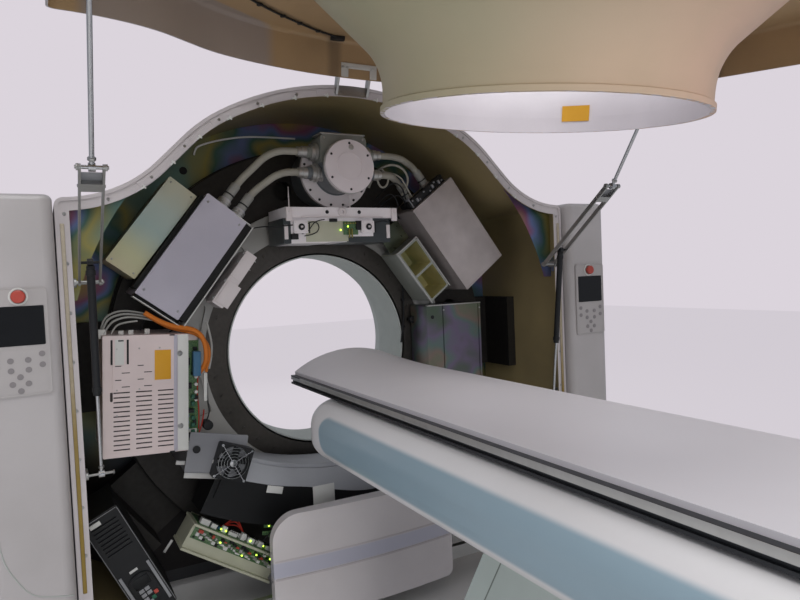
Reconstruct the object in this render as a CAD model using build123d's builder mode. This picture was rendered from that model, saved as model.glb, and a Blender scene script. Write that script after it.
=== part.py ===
"""Computed tomography scanner: a tilting gantry with its front cover raised, and its patient table.

The frame is seen from the front of the gantry: X to the right, Y into the bore, Z up.
The origin is on the floor, below the point where the bore axis and the tilt axis cross.
All sizes are in millimetres. Heights written as places on the gantry are taken from the bore axis.
"""
from build123d import *
from math import atan2, cos, degrees, exp, hypot, radians, sin, sqrt, tan
import os

os.makedirs("parts", exist_ok=True)

# Fits
CLEAR = 0.3              # running clearance and the gap between neighbouring pieces
BEARING_GAP = 0.6        # gap between the two races of the main bearing

# Bell-shaped housing
ISO_Z = 958              # height of the bore axis and of the tilt axis
BELL_R = 950             # radius of the arched top
BELL_ARC = 61            # angle from +X at which the arched top ends
WAIST = 735              # the slope below the arch passes through this point, from its own height
WAIST_X = 585
SLOPE = 660              # the slope ends as far out as up
BELL_HALF_W = 943
SHOULDER_Z = 548
SHOULDER_R = 24
SIDE_BOTTOM_Z = -690
BOTTOM_Z = -862
BOTTOM_HALF_W = BELL_HALF_W - 253  # the bottom is open between these
BELL_WALL = 8
REAR_Y = 360             # outer face of the back wall
REAR_ROUND = 20
FLANGE_Y = -400          # front face of the flange
FLANGE_W = 38
FLANGE_T = 6

# Patient tunnel
BORE_R = 374
TUNNEL_WALL = 5
TUNNEL_STRAIGHT = 212    # depth at which the tunnel starts to flare
TUNNEL_MOUTH_R = 430
TUNNEL_LIP = 25

# Base and columns
COLUMN_GAP = 4           # between the housing's side and a column cover
COLUMN_W = 203
COLUMN_IN_X = BELL_HALF_W + COLUMN_GAP
COLUMN_OUT_X = COLUMN_IN_X + COLUMN_W
COLUMN_TOP_Z = 1510
COLUMN_FRONT_Y = -444
COLUMN_REAR_Y = 440
COLUMN_WALL = 5
COLUMN_LIFT = 12         # gap below the column covers
COLUMN_ROUND = 30
TOP_ROUND = 18
RAIL_X = COLUMN_IN_X + 101  # centre of the base rails
RAIL_W = 130
PYLON_X = RAIL_X + 10
RAIL_HALF_Y = 430
BASE_H = 60
CROSS_Y = 370            # centre of the rear cross-member
PYLON_T = 100
ANCHOR_R = 9
ANCHOR_Y = 380
TRUNNION_R = 45
TRUNNION_L = 150
BEARING_R = 105
SLEEVE_R = 65

# Operator panels
PANEL_X = COLUMN_IN_X + 103
PANEL_W = 156
PANEL_T = 6
PANEL_BOTTOM_Z = 956
PANEL_TOP_Z = 1255
DISPLAY_Z = 1149
DISPLAY_W = 132
DISPLAY_H = 108
INLAY_T = 3
KEYPAD_Z = 1025
KEYPAD_H = 122
KEY_R = 8
KEY_H = 1.5
STOP_X = PANEL_X - 7
STOP_Z = 1229
STOP_STEM_R = 8
STOP_HEAD_R = 18
STOP_TRAVEL = 5

# Fixed ring, bearing and rotor drum
RACE_IN_R = 460
RACE_OUT_R = 520
RING_Y = 150             # back face of the fixed ring
RING_T = 60
CHEEK_IN_X = BELL_HALF_W - 48
CHEEK_FRONT_Y = -80
CHEEK_HALF_H = 160
DRUM_R = 800
DRUM_IN_R = 392
DRUM_Y = 60
DRUM_T = 45
DECK = DRUM_Y - DRUM_T   # the drum's front face, on which the modules stand
BOLT_RING_IN_R = 386
BOLT_RING_OUT_R = 468
BOLT_RING_T = 18
BOLT_CIRCLE_R = 436
BOLT_R = 7
BOLT_H = 5
CAST_RING_R = 570
CAST_RING_T = 26
RING_FACE = DECK - CAST_RING_T

# Rotor drive
LUG_LEFT = 216.6         # angle of the lug that carries the inverter
LUG_RIGHT = 318          # angle of the lug that carries the motor
DRIVE_R = DRUM_R + 105   # distance of the motor's shaft from the bore axis
LUG_OUT_R = DRIVE_R + 70
LUG_W = 260
MOTOR_R = 60
MOTOR_L = 140
PULLEY_R = 30
PULLEY_T = 38
SHAFT_R = 10
BELT_T = 3
BELT_W = 30
BELT_GAP = 1
INVERTER_X = -791.5
INVERTER_Z = -588.7
INVERTER_W = 115
INVERTER_L = 384
INVERTER_TURN = 25.4
INVERTER_BACK = -50
INVERTER_FRONT = -300

# Sheet metal round the rotor
SHROUD_Y = 166
SHROUD_T = 3
SHROUD_HOLE_R = 550
GUSSET_Y = -340
GUSSET_T = 2
GUSSET_R = 930
SILL_Y = -346
SILL_T = 24
SILL_H = 50
SILL_LIFT = 14

# Lower front cover
KICK_HALF_W = 355
KICK_BOTTOM_Z = 72
KICK_TOP_Z = 447
KICK_FRONT_Y = -402
KICK_BACK_Y = -346
KICK_BOW = 22            # how far its middle stands in front of its sides
KICK_WALL = 5
KICK_TOP_ROUND = 95
KICK_LOW_ROUND = 26

# Front cover, raised
HINGE_Y = -430
HINGE_RISE = 35          # of the hinge pin above the top of the housing
HINGE_Z = ISO_Z + BELL_R + HINGE_RISE
COVER_OPEN = 82.7        # degrees from its shut position
COVER_EDGE = -25         # its open edge, along its outward normal from the hinge pin
COVER_DEPTH = 125
COVER_WALL = 5
COVER_ROUND = 18
COVER_LOW_ROUND = 160
MOUTH_R = 625
MOUTH_RIM = 20           # width of the cover below the mouth
FUNNEL_RIM = -240
FUNNEL_R = 342
FUNNEL_BEND = 150        # radius of the funnel's bend, seen from the side
FUNNEL_WALL = 5
FUNNEL_LIP = 5
BRACKET_HALF_W = 62
EAR_T = 8
PIN_R = 8
KNUCKLE_R = 15

# Cover props, each in a plane at this distance from the middle
PROP_X = BELL_HALF_W - 80
FORK_PIVOT = (-412, 1260)
KNEE = (-765, 1534)
ROD_TOP = (-1000, 1880)
BALL_LOW = (-412, 700)
FORK_BALL = 90           # distance of the gas spring's upper end from the fork's pivot
FORK_GAP = 48
LEG_BAR_T = 6
LEG_BAR_W = 16
FORK_PIN_R = 6
KNEE_PIN_R = 5
KNEE_BLOCK = 62          # distance of the block that joins the fork's legs from the knee
PROP_ROD_R = 6
EYE_R = 11
EYE_T = 16
BALL_R = 4
CYLINDER_R = 11
CYLINDER_L = 372
GAS_ROD_R = 5

# Patient table
LEG_FOOT = (-1238, 160)
LEG_TILT = 31            # degrees from the vertical
LEG_LENGTH = 659
LEG_R = 120
LEG_HALF_W = 210
LEG_SKIN = 8
LEG_PIN_R = 18
LEG_OPEN = 165           # the leg's skins stop this far from its pins
LINK_OFFSET = 90
LINK_PIN_R = 8
LINK_W = 30
LINK_T = 28
EAR_X = 75
LUG_T = 20
FOOT_PLATE_T = 24
FOOT_PLATE_W = 440
FOOT_PLATE_L = 860
FOOT_PLATE_Y = -1330
FOOT_PAD_T = 10
BEAM_FRONT_Y = -530
BEAM_LENGTH = 2400
BEAM_HALF_W = 300
BEAM_TOP_Z = 868
BEAM_BOTTOM_Z = 700
BEAM_WALL = 6
BEAM_PLAN_ROUND = 150
BEAM_TOP_ROUND = 72
BEAM_LOW_ROUND = 60
SLOT_FRONT_Y = -1165
SLOT_REAR_Y = -1760
GUIDE_X = 150
GUIDE_W = 24
CHANNEL_X = 240
CHANNEL_W = 30
CHANNEL_H = 110
CRADLE_FRONT_Y = -285
CRADLE_LENGTH = 2450
CRADLE_HALF_W = 214
CRADLE_EDGE_Z = 916
CRADLE_BOTTOM_Z = 872
SIDE_RAIL_T = 16
SIDE_RAIL_H = 30
SIDE_RAIL_DROP = 26

CRADLE_STATIONS = 9

# X-ray tube and its hoses; X and Z are places on the gantry
TUBE_X = 30
TUBE_Z = 690
TUBE_R = 86
TUBE_FRONT = -284
TUBE_WAIST = -162        # front of the tube's mounting flange
CASTING_W = 186
CASTING_H = 124
TUBE_SOCKETS = (-14, 62) # heights of the hose sockets from the tube's centre
TUBE_SOCKET_R = 22
TANK_SOCKET_L = 36
HOSE_D = 26
HOSE_Y = -206            # the hoses' plane at the tube

# Collimator
COLLIMATOR_BACK = -60
COLLIMATOR_W = 430
COLLIMATOR_H = 92
COLLIMATOR_Z = 460
COLLIMATOR_T = 180
RAIL_BAR_X = 12
RAIL_BAR_Z = 525
RAIL_BAR_W = 446
RAIL_BAR_H = 38
RAIL_BAR_T = 195
STEPPER_X = (-156, 112)
STEPPER_Z = 472

# Boxes on the rotor
POWER_X = -711
POWER_Z = -64
POWER_W = 258
POWER_H = 384
POWER_TURN = -3
POWER_FRONT = -280
LEFT_TANK_X = -537
LEFT_TANK_Z = 377
LEFT_TANK_TURN = 52.5
LEFT_TANK_L = 408
LEFT_TANK_W = 162
LEFT_TANK_FRONT = -250
LEFT_SOCKET_Y = -190
LEFT_SOCKETS = (-46, 14)
RIGHT_TANK_X = 564
RIGHT_TANK_Z = 445
RIGHT_TANK_TURN = -53
RIGHT_TANK_L = 415
RIGHT_TANK_W = 236
RIGHT_TANK_FRONT = -198
RIGHT_SOCKET_Y = -120
RIGHT_SOCKETS = (-60, 40)
INVERTER_BOX = (-653, 478, 348, 108, 52)  # X, Z, length, width and turn
INVERTER_BOX_FRONT = -200
SLIM_MODULE = (-394, 294, 217, 44, 53)
SLIM_BACK = -110
SLIM_FRONT = -220
BAY = (405, 300, 250, 108, -53)
BAY_FRONT = -168
BAY_T = 3
BAY_POCKET_L = 112
BAY_POCKET_W = 96
LOW_BOX_X = 557
LOW_BOX_Z = -23
LOW_BOX_W = 272
LOW_BOX_H = 350
LOW_BOX_FRONT = -150

# Fan and its bracket
FAN_X = -445
FAN_Z = -335
FAN_BACK = -232
FAN_SIZE = 120
FAN_T = 38
FAN_TURN = -20
FAN_R = 55
BRACKET_X = -490
BRACKET_Z = -303
BRACKET_W = 200
BRACKET_H = 138
BRACKET_TURN = -12
BRACKET_T = 3.5

# Detector and the tray of boards outside it, about the tube's focus
FOCUS_Z = 540
DETECTOR_OUT = FOCUS_Z + CAST_RING_R + 70
DETECTOR_IN = DETECTOR_OUT - 225
DETECTOR_BACK = -60
DETECTOR_FRONT = -214
DETECTOR_HALF = 28       # degrees to each side
BOARD_GAP = 117.4        # from the detector's outer arc to the middle of the tray
BOARD_ANGLE = 20.15
BOARD_TURN = -33.4
BOARD_L = 350
BOARD_W = 80
BOARD_RAIL_W = 8

BORE_AXIS = Axis((0, 0, ISO_Z), (0, 1, 0))


def save(piece, name):
    piece.part.label = name
    export_step(piece.part, "parts/" + name + ".step")


def facing(y, x=0.0, z=0.0, turn=0.0):
    """A plane that faces the front, at a place on the gantry, turned anticlockwise by turn."""
    a = radians(turn)
    return Plane(origin=(x, y, ISO_Z + z), x_dir=(cos(a), 0, sin(a)), z_dir=(0, -1, 0))


def sideways(x):
    """A plane that faces +X; its own axes are Y and Z."""
    return Plane(origin=(x, 0, 0), x_dir=(0, 1, 0), z_dir=(1, 0, 0))


def polar(radius, angle):
    """X and height of a place on the gantry, by its radius and its angle from +X."""
    return (radius * cos(radians(angle)), radius * sin(radians(angle)))


def along(start, end, distance):
    run = hypot(end[0] - start[0], end[1] - start[1])
    step = distance / run
    return (start[0] + (end[0] - start[0]) * step, start[1] + (end[1] - start[1]) * step)


def slant(start, end):
    return degrees(atan2(end[1] - start[1], end[0] - start[0]))


def ring(y_back, depth, r_in, r_out):
    """A flat ring about the bore axis."""
    with BuildPart() as made:
        with BuildSketch(facing(y_back)):
            Circle(r_out)
            Circle(r_in, mode=Mode.SUBTRACT)
        extrude(amount=depth)
    return made


def bell(inset=0.0, low_z=BOTTOM_Z, low_round=0.0):
    """The face inside the bell outline, whose bottom corners are sloped, or round where asked."""
    r = BELL_R - inset
    in_slope = inset * sqrt(0.5)
    hip = polar(r, BELL_ARC)
    waist = (WAIST_X - in_slope, WAIST - in_slope)
    knee = (SLOPE - in_slope, SLOPE - in_slope)
    side_x = BELL_HALF_W - inset
    corner_r = max(SHOULDER_R - inset, 2)
    shoulder = (side_x - corner_r, SHOULDER_Z - inset)
    side = (side_x, SHOULDER_Z - inset - corner_r)
    low = low_z + inset
    with BuildSketch() as outline:
        with BuildLine():
            ThreePointArc((0, r), polar(r, (90 + BELL_ARC) / 2), hip)
            TangentArc(hip, waist, tangent=(sin(radians(BELL_ARC)), -cos(radians(BELL_ARC))))
            Line(waist, knee)
            TangentArc(knee, shoulder, tangent=(1, -1))
            RadiusArc(shoulder, side, corner_r)
            if low_round:
                turn = low_round - inset
                Line(side, (side_x, low + turn))
                RadiusArc((side_x, low + turn), (side_x - turn, low), turn)
                Line((side_x - turn, low), (0, low))
            else:
                Polyline(side, (side_x, SIDE_BOTTOM_Z), (BOTTOM_HALF_W, low), (0, low))
            mirror(about=Plane.YZ)
        make_face()
    return outline.sketch


# Base and columns
def make_base():
    with BuildPart() as base:
        with Locations((RAIL_X, 0, BASE_H / 2), (-RAIL_X, 0, BASE_H / 2)):
            Box(RAIL_W, 2 * RAIL_HALF_Y, BASE_H)
        with Locations((0, CROSS_Y, BASE_H / 2)):
            Box(2 * RAIL_X, BASE_H, BASE_H)
        with Locations((0, 0, BASE_H)):
            with GridLocations(2 * RAIL_X, 2 * ANCHOR_Y, 2, 2):
                Hole(ANCHOR_R, depth=BASE_H)
    return base


def make_pylons():
    """Two plate pylons, wide at the foot, with the seat of the tilt bearing at the top."""
    top = ISO_Z + 150
    with BuildPart() as pylons:
        for side in (-1, 1):
            with BuildSketch(sideways(side * PYLON_X)):
                with BuildLine():
                    Polyline((-210, BASE_H), (210, BASE_H), (130, top - 60), (70, top),
                             (-70, top), (-130, top - 60), (-210, BASE_H))
                make_face()
                with BuildLine():
                    Polyline((-120, 150), (120, 150), (72, top - 330), (-72, top - 330), (-120, 150))
                make_face(mode=Mode.SUBTRACT)
                with Locations((0, ISO_Z)):
                    Circle(SLEEVE_R, mode=Mode.SUBTRACT)
            extrude(amount=PYLON_T / 2, both=True)
    return pylons


def make_bearings():
    """The tilt bearings: a round housing against each pylon and a sleeve through it."""
    inner = COLUMN_IN_X + COLUMN_WALL + CLEAR
    outer = PYLON_X - PYLON_T / 2
    with BuildPart() as bearings:
        for side in (-1, 1):
            with BuildSketch(sideways(side * inner)):
                with Locations((0, ISO_Z)):
                    Circle(BEARING_R)
                    Circle(TRUNNION_R + CLEAR, mode=Mode.SUBTRACT)
            extrude(amount=side * (outer - inner))
            with BuildSketch(sideways(side * outer)):
                with Locations((0, ISO_Z)):
                    Circle(SLEEVE_R - CLEAR)
                    Circle(TRUNNION_R + CLEAR, mode=Mode.SUBTRACT)
            extrude(amount=side * PYLON_T)
    return bearings


def make_column(side):
    """A column cover: a tall rounded shell with holes for the trunnion, the cross-member and
    the stop button."""
    width = COLUMN_OUT_X - COLUMN_IN_X
    depth = COLUMN_REAR_Y - COLUMN_FRONT_Y
    mid = (side * (COLUMN_IN_X + width / 2), (COLUMN_REAR_Y + COLUMN_FRONT_Y) / 2)
    with BuildPart() as column:
        with BuildSketch(Plane.XY.offset(COLUMN_LIFT)):
            with Locations(mid):
                RectangleRounded(width, depth, COLUMN_ROUND)
        extrude(amount=COLUMN_TOP_Z - COLUMN_LIFT)
        fillet(column.faces().sort_by(Axis.Z)[-1].edges(), TOP_ROUND)
        with BuildSketch(Plane.XY.offset(COLUMN_LIFT)):
            with Locations(mid):
                RectangleRounded(width - 2 * COLUMN_WALL, depth - 2 * COLUMN_WALL, COLUMN_ROUND - COLUMN_WALL)
        extrude(amount=COLUMN_TOP_Z - COLUMN_LIFT - TOP_ROUND, mode=Mode.SUBTRACT)
        with BuildSketch(sideways(side * (COLUMN_IN_X - COLUMN_WALL))):
            with Locations((0, ISO_Z)):
                Circle(TRUNNION_R + 8)
            with Locations((CROSS_Y, BASE_H / 2)):
                Rectangle(BASE_H + 4, BASE_H + 4)
        extrude(amount=side * 4 * COLUMN_WALL, mode=Mode.SUBTRACT)
        with BuildSketch(facing(COLUMN_FRONT_Y + 2 * COLUMN_WALL, STOP_X * side, STOP_Z - ISO_Z)):
            Circle(STOP_STEM_R + 1)
        extrude(amount=3 * COLUMN_WALL, mode=Mode.SUBTRACT)
    return column


def make_panels():
    """The two operator panels, recessed for their display and keypad."""
    height = PANEL_TOP_Z - PANEL_BOTTOM_Z
    front = COLUMN_FRONT_Y - PANEL_T
    with BuildPart() as panels:
        for side in (-1, 1):
            with BuildSketch(facing(COLUMN_FRONT_Y, side * PANEL_X, PANEL_BOTTOM_Z + height / 2 - ISO_Z)):
                RectangleRounded(PANEL_W, height, 12)
            extrude(amount=PANEL_T)
            with BuildSketch(facing(front, side * PANEL_X, DISPLAY_Z - ISO_Z)):
                RectangleRounded(DISPLAY_W + 2 * CLEAR, DISPLAY_H + 2 * CLEAR, 4)
            extrude(amount=-INLAY_T, mode=Mode.SUBTRACT)
            with BuildSketch(facing(front, side * PANEL_X, KEYPAD_Z - ISO_Z)):
                RectangleRounded(DISPLAY_W + 2 * CLEAR, KEYPAD_H + 2 * CLEAR, 8)
            extrude(amount=-INLAY_T, mode=Mode.SUBTRACT)
            with BuildSketch(facing(front, side * STOP_X, STOP_Z - ISO_Z)):
                Circle(STOP_STEM_R + 1)
            extrude(amount=-PANEL_T, mode=Mode.SUBTRACT)
    return panels


def make_displays():
    with BuildPart() as displays:
        for side in (-1, 1):
            with BuildSketch(facing(COLUMN_FRONT_Y - PANEL_T + INLAY_T, side * PANEL_X, DISPLAY_Z - ISO_Z)):
                RectangleRounded(DISPLAY_W, DISPLAY_H, 4)
            extrude(amount=INLAY_T)
    return displays


def make_keypads():
    """Membranes with raised keys: two tall outer pairs, two inner pairs and a diamond of four."""
    with BuildPart() as keypads:
        for side in (-1, 1):
            plane = facing(COLUMN_FRONT_Y - PANEL_T + INLAY_T, side * PANEL_X, KEYPAD_Z - ISO_Z)
            with BuildSketch(plane):
                RectangleRounded(DISPLAY_W, KEYPAD_H, 8)
            extrude(amount=INLAY_T)
            with BuildSketch(plane.offset(INLAY_T)):
                with Locations((0, 30)):
                    with GridLocations(110, 30, 2, 2):
                        Circle(KEY_R)
                with Locations((0, 17)):
                    with GridLocations(42, 27, 2, 2):
                        Circle(KEY_R)
                with Locations((0, -34)):
                    with PolarLocations(19, 4):
                        Circle(KEY_R)
            extrude(amount=KEY_H)
    return keypads


def make_stop(side):
    """A mushroom stop button with its stem through the panel."""
    face = COLUMN_FRONT_Y - PANEL_T - STOP_TRAVEL - 1
    with BuildPart() as stop:
        with BuildSketch(facing(COLUMN_FRONT_Y + 12, side * STOP_X, STOP_Z - ISO_Z)):
            Circle(STOP_STEM_R)
        extrude(amount=COLUMN_FRONT_Y + 12 - face)
        with BuildSketch(facing(face, side * STOP_X, STOP_Z - ISO_Z)):
            Circle(STOP_HEAD_R)
        extrude(amount=12)
        fillet(stop.faces().sort_by(Axis.Y)[0].edges(), 5)
    return stop


# Tilting frame
def make_shell(inset, front, rounding):
    with BuildPart() as shell:
        with BuildSketch(facing(REAR_Y - inset)):
            add(bell(inset))
        extrude(amount=REAR_Y - inset - front)
        fillet(shell.faces().sort_by(Axis.Y)[-1].edges(), rounding)
    return shell.part


def make_housing():
    """The bell-shaped shell with its inward flange, open in front and below."""
    outside = make_shell(0, FLANGE_Y, REAR_ROUND)
    inside = make_shell(BELL_WALL, FLANGE_Y + FLANGE_T, REAR_ROUND - BELL_WALL)
    with BuildPart() as housing:
        add(outside)
        add(inside, mode=Mode.SUBTRACT)
        with BuildSketch(facing(FLANGE_Y + FLANGE_T)):
            add(bell(FLANGE_W))
        extrude(amount=FLANGE_T, mode=Mode.SUBTRACT)
        with Locations((0, (FLANGE_Y + REAR_Y) / 2 - 2 * REAR_ROUND, ISO_Z + BOTTOM_Z)):
            Box(2 * BOTTOM_HALF_W, REAR_Y - FLANGE_Y, 2 * FLANGE_W + 2, mode=Mode.SUBTRACT)
        with BuildSketch(facing(REAR_Y)):
            Circle(TUNNEL_MOUTH_R + TUNNEL_WALL + CLEAR)
        extrude(amount=2 * BELL_WALL, mode=Mode.SUBTRACT)
        with BuildSketch(sideways(-COLUMN_OUT_X)):
            with Locations((0, ISO_Z)):
                Circle(TRUNNION_R + CLEAR)
        extrude(amount=2 * COLUMN_OUT_X, mode=Mode.SUBTRACT)
    return housing


def make_ring_frame():
    """The cast ring that carries the bearing, with its cheeks, trunnions and the lugs of the drive."""
    wall = BELL_HALF_W - BELL_WALL - CLEAR
    cheek = wall - CHEEK_IN_X
    with BuildPart() as frame:
        with BuildSketch(facing(RING_Y)):
            Circle(DRUM_R)
            Rectangle(2 * wall, 2 * CHEEK_HALF_H)
            for angle in (LUG_LEFT, LUG_RIGHT):
                with Locations(Location((*polar((DRUM_R + LUG_OUT_R) / 2 - 20, angle), 0), (0, 0, angle))):
                    Rectangle(LUG_OUT_R - DRUM_R + 40, LUG_W)
            Circle(RACE_OUT_R + BEARING_GAP, mode=Mode.SUBTRACT)
            with Locations(polar(DRIVE_R, LUG_RIGHT)):
                Circle(SHAFT_R + CLEAR, mode=Mode.SUBTRACT)
        extrude(amount=RING_T)
        for side in (-1, 1):
            with Locations((side * (wall - cheek / 2), (RING_Y + CHEEK_FRONT_Y) / 2, ISO_Z)):
                Box(cheek, RING_Y - CHEEK_FRONT_Y, 2 * CHEEK_HALF_H)
            with BuildSketch(sideways(side * wall)):
                with Locations((0, ISO_Z)):
                    Circle(TRUNNION_R)
            extrude(amount=side * TRUNNION_L)
        with BuildSketch(facing(RING_Y - RING_T, *polar(LUG_OUT_R - 30, LUG_LEFT), LUG_LEFT)):
            Rectangle(60, LUG_W - 20)
        extrude(amount=RING_Y - RING_T - INVERTER_BACK)
    return frame


def make_tunnel():
    """The patient tunnel: straight, then flaring to a lip that seats on the back wall."""
    r, mouth = ISO_Z + BORE_R, ISO_Z + TUNNEL_MOUTH_R
    end = REAR_Y + TUNNEL_WALL
    with BuildPart() as tunnel:
        with BuildSketch(Plane.YZ):
            with BuildLine():
                Polyline((0, r), (TUNNEL_STRAIGHT, r), (end, mouth), (end, mouth + TUNNEL_LIP),
                         (REAR_Y, mouth + TUNNEL_LIP), (REAR_Y, mouth + TUNNEL_WALL),
                         (TUNNEL_STRAIGHT - 2, r + TUNNEL_WALL), (0, r + TUNNEL_WALL), (0, r))
            make_face()
        revolve(axis=BORE_AXIS)
    return tunnel


def make_shroud_plates():
    """The plated back sheet behind the fixed ring, and the two corner gussets near the flange."""
    with BuildPart() as plates:
        with BuildSketch(facing(SHROUD_Y)):
            add(bell(BELL_WALL + CLEAR, low_z=BOTTOM_Z + 20))
            Circle(SHROUD_HOLE_R, mode=Mode.SUBTRACT)
            with Locations(polar(DRIVE_R, LUG_RIGHT)):
                Circle(MOTOR_R + 5, mode=Mode.SUBTRACT)
        extrude(amount=SHROUD_T)
        with BuildSketch(facing(GUSSET_Y)):
            add(bell(BELL_WALL + CLEAR))
            Circle(GUSSET_R, mode=Mode.SUBTRACT)
            with Locations((0, -350)):
                Rectangle(4 * DRUM_R, 1200, mode=Mode.SUBTRACT)
            with Locations((0, 900)):
                Rectangle(1200, 900, mode=Mode.SUBTRACT)
        extrude(amount=GUSSET_T)
    return plates


def make_hinge_bracket():
    """The foot on the flange, two ears and the hinge pin."""
    foot_top = ISO_Z + BELL_R - 3
    foot_low = ISO_Z + BELL_R - FLANGE_W + 2
    with BuildPart() as bracket:
        with Locations((0, FLANGE_Y - 3, (foot_top + foot_low) / 2)):
            Box(2 * BRACKET_HALF_W, 6, foot_top - foot_low)
        for side in (-1, 1):
            with BuildSketch(sideways(side * BRACKET_HALF_W)):
                with BuildLine():
                    Polyline((FLANGE_Y, foot_low), (FLANGE_Y, foot_top), (HINGE_Y + 14, HINGE_Z),
                             (HINGE_Y - 14, HINGE_Z), (FLANGE_Y - 8, foot_low), (FLANGE_Y, foot_low))
                make_face()
                with Locations((HINGE_Y, HINGE_Z)):
                    Circle(14)
            extrude(amount=-side * EAR_T)
        with BuildSketch(sideways(-BRACKET_HALF_W)):
            with Locations((HINGE_Y, HINGE_Z)):
                Circle(PIN_R)
        extrude(amount=2 * BRACKET_HALF_W)
    return bracket


def make_sill():
    """The steel bar between the housing's bottom corners, which carries the kick panel."""
    with BuildPart() as sill:
        with BuildSketch(facing(SILL_Y + SILL_T)):
            add(bell(BELL_WALL))
            with Locations((0, BOTTOM_Z + SILL_LIFT + SILL_H / 2)):
                Rectangle(2 * BELL_HALF_W, SILL_H, mode=Mode.INTERSECT)
        extrude(amount=SILL_T)
    return sill


def kick_block(inset):
    """The kick panel's rounded front shape with a bowed face, smaller by the inset."""
    half = KICK_HALF_W - inset
    front = KICK_FRONT_Y + inset
    low, high = KICK_BOTTOM_Z + inset, KICK_TOP_Z - inset
    with BuildPart() as block:
        with BuildSketch(Plane.XY.offset(low)):
            with BuildLine():
                ThreePointArc((-half, front + KICK_BOW), (0, front), (half, front + KICK_BOW))
                Polyline((half, front + KICK_BOW), (half, KICK_BACK_Y), (-half, KICK_BACK_Y),
                         (-half, front + KICK_BOW))
            make_face()
        extrude(amount=high - low)
        uprights = block.edges().filter_by(Axis.Y)
        fillet(uprights.group_by(Axis.Z)[-1], KICK_TOP_ROUND - inset)
        fillet(block.edges().filter_by(Axis.Y).group_by(Axis.Z)[0], KICK_LOW_ROUND - inset)
    return block.part


def make_kick_panel():
    """The lower front cover: a bowed tray, open at the back."""
    outside = kick_block(0)
    inside = kick_block(KICK_WALL)
    with BuildPart() as panel:
        add(outside)
        add(inside, mode=Mode.SUBTRACT)
    return panel


def make_inverter():
    """The rotation drive's inverter: a box with a raised keypad and cooling slots."""
    with BuildPart() as inverter:
        with BuildSketch(facing(INVERTER_BACK, INVERTER_X, INVERTER_Z, INVERTER_TURN)):
            RectangleRounded(INVERTER_W, INVERTER_L, 6)
        extrude(amount=INVERTER_BACK - INVERTER_FRONT)
        with BuildSketch(facing(INVERTER_FRONT, INVERTER_X, INVERTER_Z, INVERTER_TURN)):
            with Locations((0, -95)):
                RectangleRounded(74, 110, 30)
        extrude(amount=6)
        with BuildSketch(facing(INVERTER_FRONT, INVERTER_X, INVERTER_Z, INVERTER_TURN)):
            with Locations((0, 110)):
                with GridLocations(1, 14, 1, 8):
                    Rectangle(80, 5)
        extrude(amount=-6, mode=Mode.SUBTRACT)
    return inverter


def make_motor():
    """The rotation motor, on the back of the right lug, bored for its shaft."""
    with BuildPart() as motor:
        with BuildSketch(facing(RING_Y + MOTOR_L, *polar(DRIVE_R, LUG_RIGHT))):
            Circle(MOTOR_R)
        extrude(amount=MOTOR_L)
        with BuildSketch(facing(RING_Y + 30, *polar(DRIVE_R, LUG_RIGHT))):
            Circle(SHAFT_R + CLEAR)
        extrude(amount=30, mode=Mode.SUBTRACT)
    return motor


def make_pulley():
    """The motor's pulley with its shaft."""
    with BuildPart() as pulley:
        with BuildSketch(facing(DRUM_Y - 2, *polar(DRIVE_R, LUG_RIGHT))):
            Circle(PULLEY_R)
        extrude(amount=PULLEY_T)
        with BuildSketch(facing(RING_Y + 28, *polar(DRIVE_R, LUG_RIGHT))):
            Circle(SHAFT_R)
        extrude(amount=RING_Y + 28 - DRUM_Y + 2)
    return pulley


def belt_loop(drum_r, pulley_r):
    """The face inside a belt round the drum and the pulley, with the pulley along +X."""
    lean = (drum_r - pulley_r) / DRIVE_R
    rise = sqrt(1 - lean * lean)
    with BuildSketch() as loop:
        with BuildLine():
            Line((drum_r * lean, drum_r * rise), (DRIVE_R + pulley_r * lean, pulley_r * rise))
            ThreePointArc((DRIVE_R + pulley_r * lean, pulley_r * rise), (DRIVE_R + pulley_r, 0),
                          (DRIVE_R + pulley_r * lean, -pulley_r * rise))
            Line((DRIVE_R + pulley_r * lean, -pulley_r * rise), (drum_r * lean, -drum_r * rise))
            ThreePointArc((drum_r * lean, -drum_r * rise), (-drum_r, 0), (drum_r * lean, drum_r * rise))
        make_face()
    return loop.sketch


def make_belt():
    """The flat belt round the drum's rim and the pulley."""
    back = DRUM_Y - 6
    with BuildPart() as belt:
        with BuildSketch(facing(back, turn=LUG_RIGHT)):
            add(belt_loop(DRUM_R + BELT_GAP + BELT_T, PULLEY_R + CLEAR + BELT_T))
            add(belt_loop(DRUM_R + BELT_GAP, PULLEY_R + CLEAR), mode=Mode.SUBTRACT)
        extrude(amount=BELT_W)
    return belt


def make_prop_brackets():
    """The pivots of the forks and the gas springs, on arms inside the flange."""
    wall = BELL_HALF_W - BELL_WALL - CLEAR
    strap = BELL_HALF_W - FLANGE_W - 1
    stud_end = PROP_X - FORK_GAP / 2 - LEG_BAR_T - 1
    behind = FLANGE_Y + FLANGE_T + 4
    with BuildPart() as brackets:
        for side in (-1, 1):
            for spot, r in ((FORK_PIVOT, FORK_PIN_R), (BALL_LOW, BALL_R)):
                with BuildSketch(sideways(side * wall)):
                    with Locations((behind + 20, spot[1])):
                        Rectangle(40, 60)
                extrude(amount=-side * 5)
                with BuildSketch(sideways(side * wall)):
                    with Locations((behind + 9, spot[1])):
                        Rectangle(18, 26)
                extrude(amount=-side * (wall - strap + 6))
                with BuildSketch(sideways(side * strap)):
                    with Locations(((behind + 18 + spot[0]) / 2, spot[1])):
                        SlotOverall(behind + 18 - spot[0] + 24, 24)
                extrude(amount=-side * 6)
                with BuildSketch(sideways(side * (strap - 6))):
                    with Locations(spot):
                        Circle(r)
                extrude(amount=-side * (strap - 6 - stud_end))
    return brackets


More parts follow.
